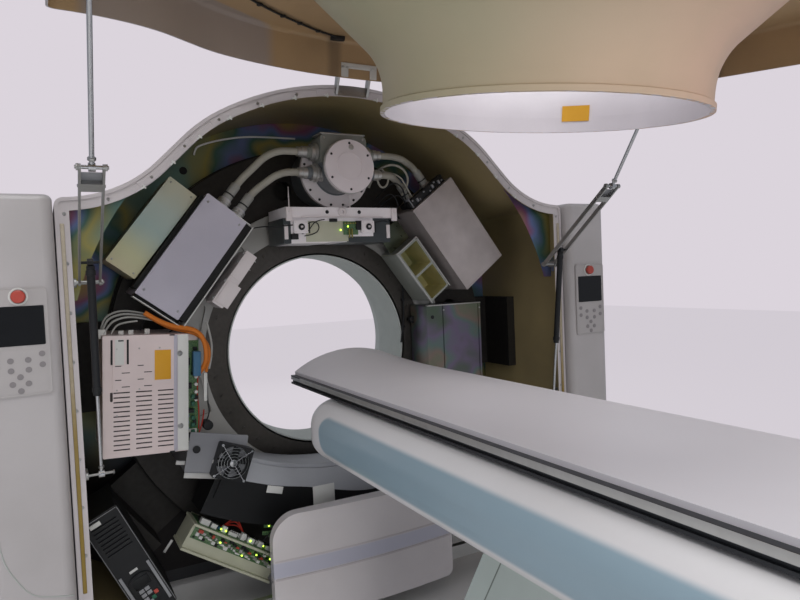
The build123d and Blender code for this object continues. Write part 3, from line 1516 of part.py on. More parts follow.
def make_cradle():
    """The cradle: a dished board whose head end swells into a crown above its edges."""
    w = CRADLE_HALF_W
    with BuildPart() as cradle:
        for i in range(CRADLE_STATIONS):
            back = CRADLE_LENGTH * (i / (CRADLE_STATIONS - 1)) ** 2
            crown = CRADLE_EDGE_Z - 16 + 80 * exp(-back / 480)
            low = CRADLE_BOTTOM_Z + 14 * exp(-back / 300)
            with BuildSketch(Plane(origin=(0, CRADLE_FRONT_Y - back, 0), x_dir=(1, 0, 0), z_dir=(0, -1, 0))):
                with BuildLine():
                    ThreePointArc((-w, CRADLE_EDGE_Z), (0, crown), (w, CRADLE_EDGE_Z))
                    Polyline((w, CRADLE_EDGE_Z), (w, low), (-w, low), (-w, CRADLE_EDGE_Z))
                make_face()
        loft(ruled=True)
    return cradle


def make_side_rails():
    """The two accessory rails along the cradle, each with its T-slot."""
    x = CRADLE_HALF_W + CLEAR + SIDE_RAIL_T / 2
    z = CRADLE_EDGE_Z - SIDE_RAIL_DROP
    with BuildPart() as rails:
        for side in (-1, 1):
            with BuildSketch(Plane(origin=(0, CRADLE_FRONT_Y - 2, 0), x_dir=(1, 0, 0), z_dir=(0, -1, 0))):
                with Locations((side * x, z)):
                    Rectangle(SIDE_RAIL_T, SIDE_RAIL_H)
                with Locations((side * (x + SIDE_RAIL_T / 2 - 3), z - 4)):
                    Rectangle(6, 9, mode=Mode.SUBTRACT)
            extrude(amount=CRADLE_LENGTH - 4)
    return rails


save(make_base(), "base_frame")
save(make_pylons(), "pylons")
save(make_bearings(), "tilt_bearings")
for name, side in (("left", -1), ("right", 1)):
    save(make_column(side), name + "_column_cover")
    save(make_stop(side), name + "_stop_button")
    save(make_fork(side), name + "_fork")
    save(make_cover_rod(side), name + "_cover_rod")
    save(make_gas_cylinder(side), name + "_gas_cylinder")
    save(make_gas_rod(side), name + "_gas_rod")
save(make_panels(), "control_panels")
save(make_displays(), "column_displays")
save(make_keypads(), "column_keypads")
save(make_housing(), "rear_housing")
save(make_ring_frame(), "ring_frame")
save(make_tunnel(), "tunnel")
save(make_shroud_plates(), "shroud_plates")
save(make_hinge_bracket(), "hinge_bracket")
save(make_prop_brackets(), "prop_brackets")
save(make_sill(), "lower_sill")
save(make_kick_panel(), "lower_front_cover")
save(make_inverter(), "drive_inverter")
save(make_motor(), "drive_motor")
save(make_pulley(), "drive_pulley")
save(make_belt(), "drive_belt")
save(make_drum(), "rotor_drum")
save(ring(RING_Y - 10, RING_Y - 10 - DRUM_Y, RACE_IN_R, RACE_OUT_R), "bearing_inner_race")
save(make_bolt_ring(), "bolt_ring")
save(make_cast_ring(), "drum_ring")
save(make_tube(), "xray_tube")
save(make_tube_flange(), "tube_flange")
save(make_collimator(), "collimator")
save(make_inverter_box(), "inverter_box")
save(make_left_tank(), "left_tank")
save(make_slim_module(), "slim_module")
save(make_power_supply(), "power_supply")
save(make_fan_frame(), "fan_frame")
save(make_fan_blades(), "fan_blades")
save(make_fan_bracket(), "fan_bracket")
save(make_detector(), "detector_housing")
save(make_board_module(), "board_module")
save(make_right_tank(), "right_tank")
save(make_bay_frame(), "bay_frame")
save(make_lower_right_box(), "lower_right_box")
save(make_hoses(), "rotor_hoses")
save(make_cover(), "cover_shell")
save(make_funnel(), "funnel")
save(make_cover_hinge(), "cover_hinge")
save(make_table_base(), "table_base")
save(make_leg(), "lift_leg")
save(make_levelling_rod(), "levelling_rod")
save(make_beam_cover(), "beam_cover")
save(make_beam_frame(), "beam_frame")
save(make_cradle(), "cradle")
save(make_side_rails(), "side_rails")
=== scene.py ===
# %% [markdown]
# # A computed tomography scanner with its front cover raised
# The CAD model holds every piece of the machine that has a real size. This notebook dresses it:
# it gives each piece a finish, and adds what is too small or too soft for the CAD, such as seals,
# screws, connectors, cables and circuit boards. Sizes are written in millimetres, as on a drawing,
# and become metres when a piece is finished.

from math import atan2, cos, degrees, pi, radians, sin, sqrt

import bmesh
import bpy
from mathutils import Matrix, Vector


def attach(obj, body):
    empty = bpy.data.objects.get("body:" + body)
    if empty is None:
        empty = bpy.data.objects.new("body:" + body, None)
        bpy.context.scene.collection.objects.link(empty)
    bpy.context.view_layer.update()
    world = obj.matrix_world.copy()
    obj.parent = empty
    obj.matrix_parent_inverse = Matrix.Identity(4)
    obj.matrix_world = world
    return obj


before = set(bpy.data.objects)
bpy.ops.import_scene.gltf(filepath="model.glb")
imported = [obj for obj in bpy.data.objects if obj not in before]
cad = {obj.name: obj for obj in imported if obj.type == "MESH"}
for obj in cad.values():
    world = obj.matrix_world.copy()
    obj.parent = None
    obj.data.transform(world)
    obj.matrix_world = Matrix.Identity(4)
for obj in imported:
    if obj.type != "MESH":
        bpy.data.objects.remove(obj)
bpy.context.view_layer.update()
print("the CAD model has", len(cad), "nodes")

# %% [markdown]
# ## Camera
# The photograph was taken from in front of the left column, about level with its panel, looking to
# the right. The camera's place, turn and lens were worked out from points that are known on the
# machine, so the render can be laid over the photograph.

# %% Camera
CAMERA_AT = Vector((-0.9798, -2.5021, 1.2494))
YAW, PITCH, ROLL = radians(28.4663), radians(-2.3615), radians(-2.4244)
LENS = 29.442

ahead = Vector((sin(YAW) * cos(PITCH), cos(YAW) * cos(PITCH), sin(PITCH)))
level = Vector((cos(YAW), -sin(YAW), 0))
upright = level.cross(ahead)
right_hand = level * cos(ROLL) + upright * sin(ROLL)
camera_up = upright * cos(ROLL) - level * sin(ROLL)
camera = bpy.data.objects.new("camera", bpy.data.cameras.new("camera"))
camera.data.lens = LENS
camera.data.clip_start = 0.02
camera.matrix_world = (Matrix.Translation(CAMERA_AT)
                       @ Matrix((right_hand, camera_up, -ahead)).transposed().to_4x4())
bpy.context.scene.collection.objects.link(camera)
bpy.context.scene.camera = camera
bpy.context.scene.view_settings.view_transform = "Standard"

# %% [markdown]
# ## Shader maths
# A finish that varies over a surface is a sum of simple pictures: a distance, a noise, a mask.
# In the node editor each sign would be a Math node. The class below wraps a socket, so that an
# ordinary Python expression adds those nodes.


# %% A socket that can be added, multiplied and compared
class Value:
    """A number that varies over a surface: an output socket of a material's nodes."""

    def __init__(self, finish, socket):
        self.finish, self.socket = finish, socket

    def _math(self, operation, *numbers):
        return self.finish.node("ShaderNodeMath", {"operation": operation}, dict(enumerate(numbers)))

    def __add__(self, other):
        return self._math("ADD", self, other)

    def __sub__(self, other):
        return self._math("SUBTRACT", self, other)

    def __rsub__(self, other):
        return self._math("SUBTRACT", other, self)

    def __mul__(self, other):
        return self._math("MULTIPLY", self, other)

    def __truediv__(self, other):
        return self._math("DIVIDE", self, other)

    def __gt__(self, other):
        return self._math("GREATER_THAN", self, other)

    def __lt__(self, other):
        return self._math("LESS_THAN", self, other)

    __radd__, __rmul__ = __add__, __mul__

    def size(self):
        return self._math("ABSOLUTE", self)

    def root(self):
        return self._math("SQRT", self)

    def least(self, other):
        return self._math("MINIMUM", self, other)

    def most(self, other):
        return self._math("MAXIMUM", self, other)

    def step(self, start, end):
        """0 before start, 1 after end, and smooth between them."""
        return self.finish.node("ShaderNodeMapRange", {"interpolation_type": "SMOOTHSTEP"},
                                {0: self, 1: start, 2: end})

    def ramp(self, *stops):
        """A colour for each value, given as (value, colour) stops."""
        made = self.finish.node("ShaderNodeValToRGB", {}, {0: self})
        ramp = made.socket.node.color_ramp
        while len(ramp.elements) < len(stops):
            ramp.elements.new(0.5)
        for element, (place, colour) in zip(ramp.elements, stops):
            element.position, element.color = place, tint(colour)
        return made


def tint(code):
    """A linear colour from a screen colour such as d8d4cc."""
    channels = [int(code[i:i + 2], 16) / 255 for i in (0, 2, 4)]
    return (*((c / 12.92 if c <= 0.04045 else ((c + 0.055) / 1.055) ** 2.4) for c in channels), 1.0)


# %% A finish: one material and its nodes
class Finish:
    """A material that is built from expressions."""

    def __init__(self, name, **fixed):
        self.material = bpy.data.materials.new(name)
        self.material.use_nodes = True
        self.tree = self.material.node_tree
        self.shader = self.tree.nodes["Principled BSDF"]
        for socket, number in fixed.items():
            self.shader.inputs[socket.replace("_", " ")].default_value = number
        self.place = self.node("ShaderNodeTexCoord", {}, {}, "Object")
        self.facing = self.node("ShaderNodeTexCoord", {}, {}, "Normal")

    def node(self, kind, settings, inputs, output=0):
        """Any other node: its type, its settings, the values or links of its sockets."""
        made = self.tree.nodes.new(kind)
        for name, setting in settings.items():
            setattr(made, name, setting)
        for name, number in inputs.items():
            if isinstance(number, Value):
                self.tree.links.new(number.socket, made.inputs[name])
            else:
                made.inputs[name].default_value = number
        return Value(self, made.outputs[output])

    def xyz(self):
        """The X, Y and Z of a place, in metres."""
        made = self.node("ShaderNodeSeparateXYZ", {}, {0: self.place})
        return [Value(self, socket) for socket in made.socket.node.outputs]

    def noise(self, scale, detail=2.0, stretch=(1, 1, 1), rough=0.5):
        """A cloudy value from 0 to 1; scale is in cells a metre."""
        placed = self.node("ShaderNodeMapping", {}, {0: self.place, "Scale": stretch})
        return self.node("ShaderNodeTexNoise", {}, {"Vector": placed, "Scale": scale, "Detail": detail,
                                                    "Roughness": rough})

    def mix(self, share, low, high):
        """A colour between two colours."""
        sockets = {"Factor": share, 6: tint(low) if isinstance(low, str) else low,
                   7: tint(high) if isinstance(high, str) else high}
        return self.node("ShaderNodeMix", {"data_type": "RGBA"}, sockets, 2)

    def colour(self, value):
        self.tree.links.new(value.socket, self.shader.inputs["Base Color"])
        return self

    def set(self, socket, value):
        self.tree.links.new(value.socket, self.shader.inputs[socket])
        return self

    def gloss(self, least, spread, scale=30, detail=3.0):
        """A roughness that drifts between least and least + spread."""
        return self.set("Roughness", least + self.noise(scale, detail) * spread)

    def relief(self, height, depth, strength=1.0):
        """Bumps the surface; depth is in metres for a height from 0 to 1."""
        made = self.node("ShaderNodeBump", {}, {"Height": height, "Distance": depth, "Strength": strength})
        return self.set("Normal", made)


# %% [markdown]
# ## Finishes
# Most covers are sprayed: a fine orange peel, a slow drift of tone and a faint speckle. One recipe
# makes them all, and each gets its own colour and gloss.


# %% Sprayed and moulded covers
def drift(finish, light, dark, scale=3.0):
    """A base colour that wanders a little between two tones, with fine speckle."""
    slow = finish.noise(scale, 3.0)
    fine = finish.noise(scale * 40, 2.0)
    return finish.mix(slow.step(0.35, 0.7) * 0.8 + fine * 0.2, light, dark)


def sprayed(name, light, dark, gloss=0.35, peel=700.0, coat=0.0, **fixed):
    made = Finish(name, Coat_Weight=coat, Coat_Roughness=0.12, **fixed)
    made.colour(drift(made, light, dark))
    made.set("Roughness", gloss + made.noise(14, 3.0) * 0.16 - 0.05)
    return made.relief(made.noise(peel, 2.0) * 0.7 + made.noise(peel * 0.15, 2.0) * 0.3, 0.00025, 0.35)


column_paint = sprayed("column cover paint", "b9b4b4", "aea9a8", 0.32, coat=0.3)
panel_grey = sprayed("panel foil", "b2adac", "a8a3a2", 0.42)
key_grey = Finish("keypad foil with raised keys")
x, y, z = key_grey.xyz()
FOIL_FACE = -0.4503                         # what stands out past the foil is a key
key_grey.colour(key_grey.mix(y < FOIL_FACE, drift(key_grey, "b2adac", "a8a3a2"), "878283"))
key_grey.gloss(0.4, 0.1, 14)
flange_white = sprayed("flange paint", "cbc4c5", "b7b0b1", 0.42)
dark_paint = sprayed("dark frame paint", "3a3b3d", "26272a", 0.4)
black_paint = sprayed("black paint", "16171a", "0b0c0e", 0.38)
keypad_grey = sprayed("keypad frame grey", "98999b", "85868a", 0.36)
tank_paint = sprayed("tank paint", "bcb8c4", "aca8b4", 0.4)
white_box = sprayed("white case paint", "e2dadb", "d2caca", 0.36)
supply_paint = Finish("power supply paint")
x, y, z = supply_paint.xyz()
# painted shade: the depth of the slits is darkened
in_the_depth = (y > -0.2795) * (y < -0.2752)
slit_shade = in_the_depth * ((x + 0.711).size() < 0.118) * ((z - 0.815).size() < 0.098)
supply_paint.colour(supply_paint.mix(slit_shade, drift(supply_paint, "dfd0ce", "d2c2c0"), "3a302e"))
supply_paint.gloss(0.36, 0.12, 14)
supply_paint.relief(supply_paint.noise(700, 2.0), 0.0002, 0.3)
bracket_paint = sprayed("bracket paint", "97989c", "828388", 0.4, Metallic=0.3)
red_plastic = sprayed("red plastic", "bf4c3e", "a53c30", 0.3, coat=0.3)
label_yellow = sprayed("bare yellow plate", "dca32c", "cf9620", 0.4)
# painted shade: the greyer green tone of the column groove
groove_shade_tone = sprayed("painted shade of the column grooves", "b3b7b2", "a6aca8", 0.4)
bright_white = sprayed("bright white edging", "f6f4f4", "eeecec", 0.3)
label_white = sprayed("bare white plate", "d8d8d4", "c8c8c4", 0.4)
blue_plastic = sprayed("blue plastic", "4b7899", "3a6584", 0.35)
green_plastic = sprayed("green plastic", "2f6b52", "265744", 0.4)
print("sprayed finishes are ready")

# %% [markdown]
# ### Metals
# Zinc-plated and passivated sheet is what gives the inside of the gantry its greens, golds and
# purples. The film on the zinc is thinner than a wave of light, so its colour depends on its
# thickness, which drifts slowly over a sheet. A noise drives a colour ramp for that. Brushed sheet
# has long fine scratches, made by a noise that is stretched along one direction.


# %% Metals
def brushed(name, light, dark, gloss=0.3, stretch=(1, 1, 30), metal=1.0, scale=60.0):
    made = Finish(name, Metallic=metal)
    grain = made.noise(scale, 4.0, stretch)
    made.colour(made.mix(grain * 0.6 + made.noise(4, 2.0) * 0.4, light, dark))
    made.set("Roughness", gloss + grain * 0.16)
    return made.relief(grain, 0.0001, 0.3)


def film(finish, scale, stops):
    """The film's colours: its thickness drifts over the sheet."""
    return finish.noise(scale, 2.5, (1, 1, 1), 0.45).step(0.3, 0.72).ramp(*stops)


def sheet_skin(finish, gloss):
    """What every plated sheet has under its colours: a patchy gloss and a fine grain."""
    finish.gloss(gloss, 0.14, 25)
    return finish.relief(finish.noise(350, 3.0), 0.0001, 0.25)


def plated(name, stops, scale=1.6, gloss=0.34, metal=0.85):
    made = Finish(name, Metallic=metal)
    made.colour(film(made, scale, stops))
    return sheet_skin(made, gloss)


def slanted(x, z, angle):
    """How far a place lies along a direction that rises at an angle."""
    return x * cos(radians(angle)) + z * sin(radians(angle))


steel = brushed("bright steel", "c4c4c2", "9c9c9a", 0.28)
machined = brushed("machined ring", "66625d", "4c4945", 0.36, (1, 1, 1), 0.85)
drum_metal = brushed("dark drum", "474543", "33312f", 0.42, (1, 1, 1), 0.7)
chrome = Finish("polished rod", Metallic=1.0)
chrome.colour(chrome.mix(chrome.noise(40, 2.0), "cfd0d2", "b9babd"))
chrome.gloss(0.1, 0.1, 120, 2.0)
print("brushed metals are ready")

# %% [markdown]
# ### Masks from distances
# The tube's end plate is turned, so its grooves are circles: a noise that is given only the distance
# from the tube's axis draws them. The tube's pale collar, the detector's black lower part and the
# bare rims of the bays each belong to a CAD node that holds two tones. They could be cut into two
# meshes; a mask made of a few distances keeps the node whole.


# %% Tube, detector and bays
TUBE_X, TUBE_HEIGHT = 0.030, 1.648          # the tube's axis, in metres


def from_tube(finish):
    """Depth, height above the tube's axis, and distance from that axis."""
    x, y, z = finish.xyz()
    x, z = x - TUBE_X, z - TUBE_HEIGHT
    return y, z, (x * x + z * z).root()


turned_plate = Finish("turned end plate", Metallic=0.15)
y, z, rings = from_tube(turned_plate)
spread = turned_plate.node("ShaderNodeCombineXYZ", {}, {0: rings})
grooves = turned_plate.node("ShaderNodeTexNoise", {}, {"Vector": spread, "Scale": 900.0, "Detail": 3.0})
turned_plate.colour(turned_plate.mix(grooves * 0.5 + turned_plate.noise(9, 2.0) * 0.5, "f4ecef", "d8cfd2"))
turned_plate.set("Roughness", 0.3 + grooves * 0.15)
turned_plate.relief(grooves, 0.0001, 0.3)

detector_paint = Finish("detector housing, cast above and black below")
x, y, z = detector_paint.xyz()
ARC_CENTRE = 1.498                          # height of the centre of the detector's arc, in metres
below = ARC_CENTRE - z
reach = (x * x + below * below).root() + detector_paint.noise(6, 2.0) * 0.004
cast_edge = x.step(-0.2, 0.15) * 0.055 + 1.038
black_part = detector_paint.mix(detector_paint.noise(8), "101113", "08090b")
detector_paint.colour(detector_paint.mix(reach < cast_edge, black_part,
                                         drift(detector_paint, "a9abb0", "94969b")))
detector_paint.gloss(0.42, 0.14)
detector_paint.relief(detector_paint.noise(260, 3.0), 0.0003, 0.3)

tube_coat = Finish("tube housing paint", Coat_Weight=0.2)
y, z, rings = from_tube(tube_coat)
collar = (rings > 0.0905) * (y > -0.1625) * (y < -0.1440) * (z < 0.062)
casting = (z > 0.02) * (y < -0.1640)
paint = tube_coat.mix(casting, tube_coat.mix(tube_coat.noise(12), "6f7478", "5e6266"),
                      tube_coat.mix(tube_coat.noise(12), "8f918b", "7b7d77"))
tube_coat.colour(tube_coat.mix(collar, paint, drift(tube_coat, "ece4e5", "dad2d3")))
tube_coat.gloss(0.36, 0.14)
tube_coat.relief(tube_coat.noise(500, 3.0), 0.0002, 0.3)

bay_sheet = Finish("bay sheet", Metallic=0.25)
x, y, z = bay_sheet.xyz()
x, z = x - 0.405, z - 1.258
BAY_TURN = -53
along, across_bay = slanted(x, z, BAY_TURN), slanted(x, z, BAY_TURN + 90)
rim = ((across_bay.size() > 0.0525).most(along.size() > 0.1235)).most(y < -0.1675)
gold = bay_sheet.noise(5, 3.0).ramp((0.2, "a39a68"), (0.5, "c6bd86"), (0.75, "8b9670"), (1.0, "d2ca96"))
bay_sheet.colour(bay_sheet.mix(rim, gold, bay_sheet.mix(bay_sheet.noise(4), "a9aca4", "7f837c")))
sheet_skin(bay_sheet, 0.26)
print("the tube, the detector and the bays have their masks")

# %% [markdown]
# ### Plated sheets
# The film of the pale box runs through its colours along its length. The back plates are darker and
# more colourful, and painted shade takes them to near black low down, where little light gets in.

# %% Plated boxes and plates, and the collimator's paint with its painted shade
cast = sprayed("cast aluminium", "b3b2ae", "9a9995", 0.42, 260.0, Metallic=0.35)
zinc_pale = Finish("pale plated sheet", Metallic=0.2)
x, y, z = zinc_pale.xyz()
along = slanted(x + 0.661, z - 1.433, 52.5)
BOX_LENGTH = 0.52
zinc_pale.colour((along / BOX_LENGTH + 0.5 + (zinc_pale.noise(4, 3.0) - 0.5) * 0.45).ramp(
    (0.05, "d0c6a6"), (0.25, "cdcda6"), (0.48, "b2c6c0"), (0.66, "c0cdc4"), (0.85, "cfccb4"), (1.0, "d3c6bd")))
sheet_skin(zinc_pale, 0.34)
zinc_deep = Finish("dark plated sheet", Metallic=0.5)
x, y, z = zinc_deep.xyz()
colours = film(zinc_deep, 3.0, ((0.0, "6f8f86"), (0.25, "a39a5c"), (0.42, "4f7266"), (0.6, "6f7fae"),
                                (0.78, "94607c"), (1.0, "a58e52")))
# painted shade: the plates go to near black low down
zinc_deep.colour(zinc_deep.mix(z.step(0.5, 1.05), "1b1718", colours))
sheet_skin(zinc_deep, 0.3)
zinc_olive = plated("olive plated sheet", ((0.0, "4d5344"), (0.5, "5f6450"), (1.0, "6d6a4c")), 5.0, 0.22, 0.7)
zinc_gold = plated("gold passivated sheet", ((0.0, "8d8348"), (0.4, "a39a5a"), (0.7, "8a9060"),
                                             (1.0, "b5a86c")), 3.0)
box_sheet = plated("lower box sheet", ((0.0, "5d6a5a"), (0.3, "7b6f86"), (0.55, "6c7f79"), (0.8, "8a7a70"),
                                       (1.0, "77806a")), 5.0, 0.24, 0.8)
tank_metal = brushed("brushed tank lid", "e6dcda", "958c8a", 0.36, (5, 1, 5), 0.4, 2.2)

collimator_paint = Finish("collimator paint", Coat_Weight=0.2)
x, y, z = collimator_paint.xyz()
# painted shade: the low sides and the lower right of the collimator are darkened to a grey
low_part = z < 1.4635
shade = low_part * ((x < -0.188).most(x > 0.142)).most((x > 0.03) * (z < 1.395))
shade_grey = collimator_paint.mix(collimator_paint.noise(8), "3d4446", "2c3133")
collimator_paint.colour(collimator_paint.mix(shade, drift(collimator_paint, "f0eaec", "e0dadc"), shade_grey))
collimator_paint.gloss(0.36, 0.14)
collimator_paint.relief(collimator_paint.noise(500, 3.0), 0.0002, 0.3)
print("metals are ready")

# %% [markdown]
# ### Glass fibre, rubber, glass and lights
# The housing and the front cover are laid up in glass fibre: the outside is painted, and the inside
# keeps its ochre resin with a faint weave. One node holds both, so its material looks at which way
# the surface faces: away from the bore axis is outside, towards it is inside.


# %% Resin inside, paint outside
ISO = 0.958                      # height of the bore axis, in metres
COVER_LEAN = radians(7.3)        # the raised cover leans this far from level
COVER_UP = Vector((0, cos(COVER_LEAN), sin(COVER_LEAN)))
COVER_OUT = Vector((0, -sin(COVER_LEAN), cos(COVER_LEAN)))
HINGE = Vector((0, -0.430, 1.943))


def resin(finish, light, dark):
    """Ochre resin: cloudy, with a faint weave."""
    weave = finish.node("ShaderNodeTexNoise", {}, {"Vector": finish.place, "Scale": 260.0, "Detail": 3.0})
    cloud = finish.noise(2.2, 4.0)
    return finish.mix(cloud.step(0.3, 0.75) * 0.75 + weave * 0.25, light, dark)


def moulding(name, axis_point, up, out, paint, gel, dusk, front_flange, strip=False):
    """A fibre-glass shell about an axis through axis_point along out, painted outside."""
    made = Finish(name, Coat_Weight=0.2, Coat_Roughness=0.2)
    away = made.node("ShaderNodeVectorMath", {"operation": "SUBTRACT"}, {0: made.place, 1: axis_point})
    spread = [made.node("ShaderNodeVectorMath", {"operation": "DOT_PRODUCT"}, {0: source, 1: way}, "Value")
              for source in (away, made.facing) for way in ((1, 0, 0), tuple(up), tuple(out))]
    wide, high, deep, wide_n, high_n, deep_n = spread
    sideways = (wide * wide_n + high * high_n) > 0.02
    outside = sideways.most((deep_n > 0.5) * (deep > dusk)).most((deep_n < -0.5) * (deep < front_flange))
    inner = resin(made, *gel)
    if strip:                    # a pale band and a dark line follow the cover's sloping edges
        run = wide.size() * 0.626 + high * 0.780
        inner = made.mix((run - 0.935).size().step(0.048, 0.030) * 0.85, inner, "a39893")
        inner = made.mix((run - 0.790).size().step(0.020, 0.004) * 0.6, inner, "6d5c48")
    made.colour(made.mix(outside, inner, drift(made, paint[0], paint[1])))
    made.set("Roughness", 0.5 - outside * 0.14 + made.noise(30, 3.0) * 0.12)
    fuzz = made.noise(420, 3.0)
    return made.relief(fuzz * (1 - outside) + made.noise(700) * 0.15, 0.0006, 0.4)


housing_shell = moulding("housing moulding", (0, 0, ISO), (0, 0, 1), (0, 1, 0), ("cbc4c5", "b9b2b2"),
                         ("a19067", "7f7254"), 0.30, -0.3935)
HINGE_TO_AXIS = 0.985
cover_axis = HINGE - COVER_UP * HINGE_TO_AXIS
cover_mould = moulding("front cover moulding", tuple(cover_axis), COVER_UP, COVER_OUT,
                       ("cdc8c8", "c0bbba"), ("bfa078", "a08562"), 0.09, -0.0245, True)

# %% The funnel: white inside; outside bare gel with painted light, darker greenish on the left to lighter pink on the right
funnel_mould = Finish("funnel moulding", Coat_Weight=0.15, Coat_Roughness=0.25)
away = funnel_mould.node("ShaderNodeVectorMath", {"operation": "SUBTRACT"},
                         {0: funnel_mould.place, 1: tuple(cover_axis)})
spread = [funnel_mould.node("ShaderNodeVectorMath", {"operation": "DOT_PRODUCT"}, {0: source, 1: way}, "Value")
          for source in (away, funnel_mould.facing) for way in ((1, 0, 0), tuple(COVER_UP))]
outer = (spread[0] * spread[2] + spread[1] * spread[3]) > 0.0
# partly painted light: the gel runs from darker and greenish on the left to lighter and pink on the right; its
# mottle is the gel's own
gel = funnel_mould.mix((spread[0] + funnel_mould.noise(2.5, 2.0) * 0.25).step(-0.38, 0.35),
                       "aeab8e", "e0bda6")
gel = funnel_mould.mix(funnel_mould.noise(9, 4.0).step(0.3, 0.8) * 0.25, gel, "bfae92")
funnel_mould.colour(funnel_mould.mix(outer, drift(funnel_mould, "d9d2d6", "cbc4c8"), gel))
funnel_mould.set("Roughness", 0.4 + outer * 0.1 + funnel_mould.noise(22, 3.0) * 0.1)
funnel_mould.relief(funnel_mould.noise(300, 3.0), 0.0003, 0.3)


# %% Rubber, foam, dark plastic, glass and small lights
def soft(name, light, dark, gloss=0.7, pores=260.0, depth=0.0004):
    made = Finish(name)
    made.colour(made.mix(made.noise(18, 4.0), light, dark))
    made.gloss(gloss, 0.15, 60, 2.0)
    return made.relief(made.noise(pores, 3.0), depth, 0.5)


black_plastic = soft("black plastic", "1a1b1d", "101113", 0.42, 500.0, 0.0002)
belt_rubber = soft("belt rubber", "1d1d1d", "0f0f0f", 0.65)
foam = Finish("aged foam seal")
x, y, z = foam.xyz()
aged = (foam.noise(6, 4.0) * 0.6 + (1.25 - z)).step(0.35, 0.95)
foam.colour(foam.mix(foam.noise(90, 3.0) * 0.4, foam.mix(aged, "bfb5a4", "9a8240"), "6d5b30"))
foam.gloss(0.8, 0.15, 60, 2.0)
foam.relief(foam.noise(420, 3.0), 0.001, 0.5)
hose_skin = soft("hose skin", "b3b0a4", "928f86", 0.55, 300.0, 0.0003)
orange_skin = soft("orange cable skin", "d27a26", "bd661b", 0.45)
grey_skin = soft("grey cable skin", "a9a9a4", "8e8e8b", 0.5)
black_skin = soft("black cable skin", "202123", "131416", 0.5)
red_skin = soft("red wire skin", "b03426", "98271c", 0.45)
tunnel_skin = soft("tunnel skin", "c3c8c4", "b0b6b2", 0.5, 200.0, 0.0002)
cradle_skin = Finish("cradle skin", Coat_Weight=0.2, Coat_Roughness=0.25)
cradle_skin.colour(cradle_skin.mix(cradle_skin.noise(2.5, 2.0), "e9e5e9", "e0dbdf"))
cradle_skin.gloss(0.34, 0.08, 5, 2.0)
board_skin = soft("cream board", "c3c3ae", "adae99", 0.5)
glass_dark = Finish("dark display window", Coat_Weight=0.25, Coat_Roughness=0.2, Specular_IOR_Level=0.3)
glass_dark.colour(glass_dark.mix(glass_dark.noise(30, 3.0).step(0.5, 0.8) * 0.3, "06080b", "12161b"))
glass_dark.gloss(0.16, 0.12, 60)
circuit = Finish("circuit board", Coat_Weight=0.4, Coat_Roughness=0.2)
tracks = circuit.noise(420, 1.0, (1, 1, 6)).step(0.5, 0.56)
circuit.colour(circuit.mix(tracks, circuit.mix(circuit.noise(30, 2.0), "2a5a3a", "1f4a30"), "6f8a58"))
circuit.set("Roughness", 0.35 + tracks * 0.15)
led = Finish("lit green indicator", Emission_Strength=3.0)
led.set("Emission Color", led.mix(led.noise(900), "a8e832", "c4f05a"))
led.colour(led.mix(led.noise(900), "a8e832", "c4f05a"))
anodised = Finish("rail with a dark lower edge", Metallic=0.35)
x, y, z = anodised.xyz()
lower = (z < 0.8865).most(z > 0.9005)
anodised.colour(anodised.mix(lower, anodised.mix(anodised.noise(30, 3.0, (30, 1, 30)), "b9bcc0", "9fa2a6"),
                             anodised.mix(anodised.noise(30), "34363a", "26282b")))
anodised.gloss(0.3, 0.12, 40, 2.0)
print("fibre glass, rubber and glass are ready")

# %% [markdown]
# ### Covers with a stripe
# The table's side and the lower front cover carry a broad grey-blue stripe with soft edges. It is a
# mask made from distances, mixed into the cover's own paint.

# %% The blue stripes and the leg's seam
beam_paint = Finish("table side paint", Coat_Weight=0.35, Coat_Roughness=0.15)
x, y, z = beam_paint.xyz()
corner = 0.05
stripe = ((z - 0.790).size() - (0.052 - corner)).most(0.0)
run_in = (y + 0.715 + corner).most(0.0)
rounded = (stripe * stripe + run_in * run_in).root()
band = rounded.step(corner + 0.006, corner - 0.006) * (x.size() > 0.2)
beam_paint.colour(beam_paint.mix(band * 0.9, drift(beam_paint, "e9e7e8", "dedcdc"), "8aa6b4"))
beam_paint.gloss(0.28, 0.12, 16)
beam_paint.relief(beam_paint.noise(700), 0.0002, 0.3)

kick_paint = Finish("lower cover paint", Coat_Weight=0.3, Coat_Roughness=0.15)
x, y, z = kick_paint.xyz()
band = (z - 0.262).size().step(0.030, 0.022)
kick_paint.colour(kick_paint.mix(band * 0.6, drift(kick_paint, "d8d2d2", "cbc5c5"), "a9adc4"))
kick_paint.gloss(0.3, 0.12, 16)
kick_paint.relief(kick_paint.noise(700), 0.0002, 0.3)

leg_seam = Finish("leg paint with its seam", Coat_Weight=0.2, Coat_Roughness=0.2)
x, y, z = leg_seam.xyz()
across = slanted(y + 1.238, z - 0.160, 31)
seam = (across - 0.070).size().step(0.0022, 0.0012) * (x.size() > 0.2)
leg_seam.colour(leg_seam.mix(seam, drift(leg_seam, "b9c4bf", "abb6b1"), "6d766f"))
leg_seam.gloss(0.32, 0.14, 16)
leg_seam.relief(leg_seam.noise(500) * 0.2 + (1 - seam), 0.001, 0.5)
print("stripes are ready")

# %% [markdown]
# ### The CAD nodes get their finishes
# A CAD node is right as it is, so only its material changes.

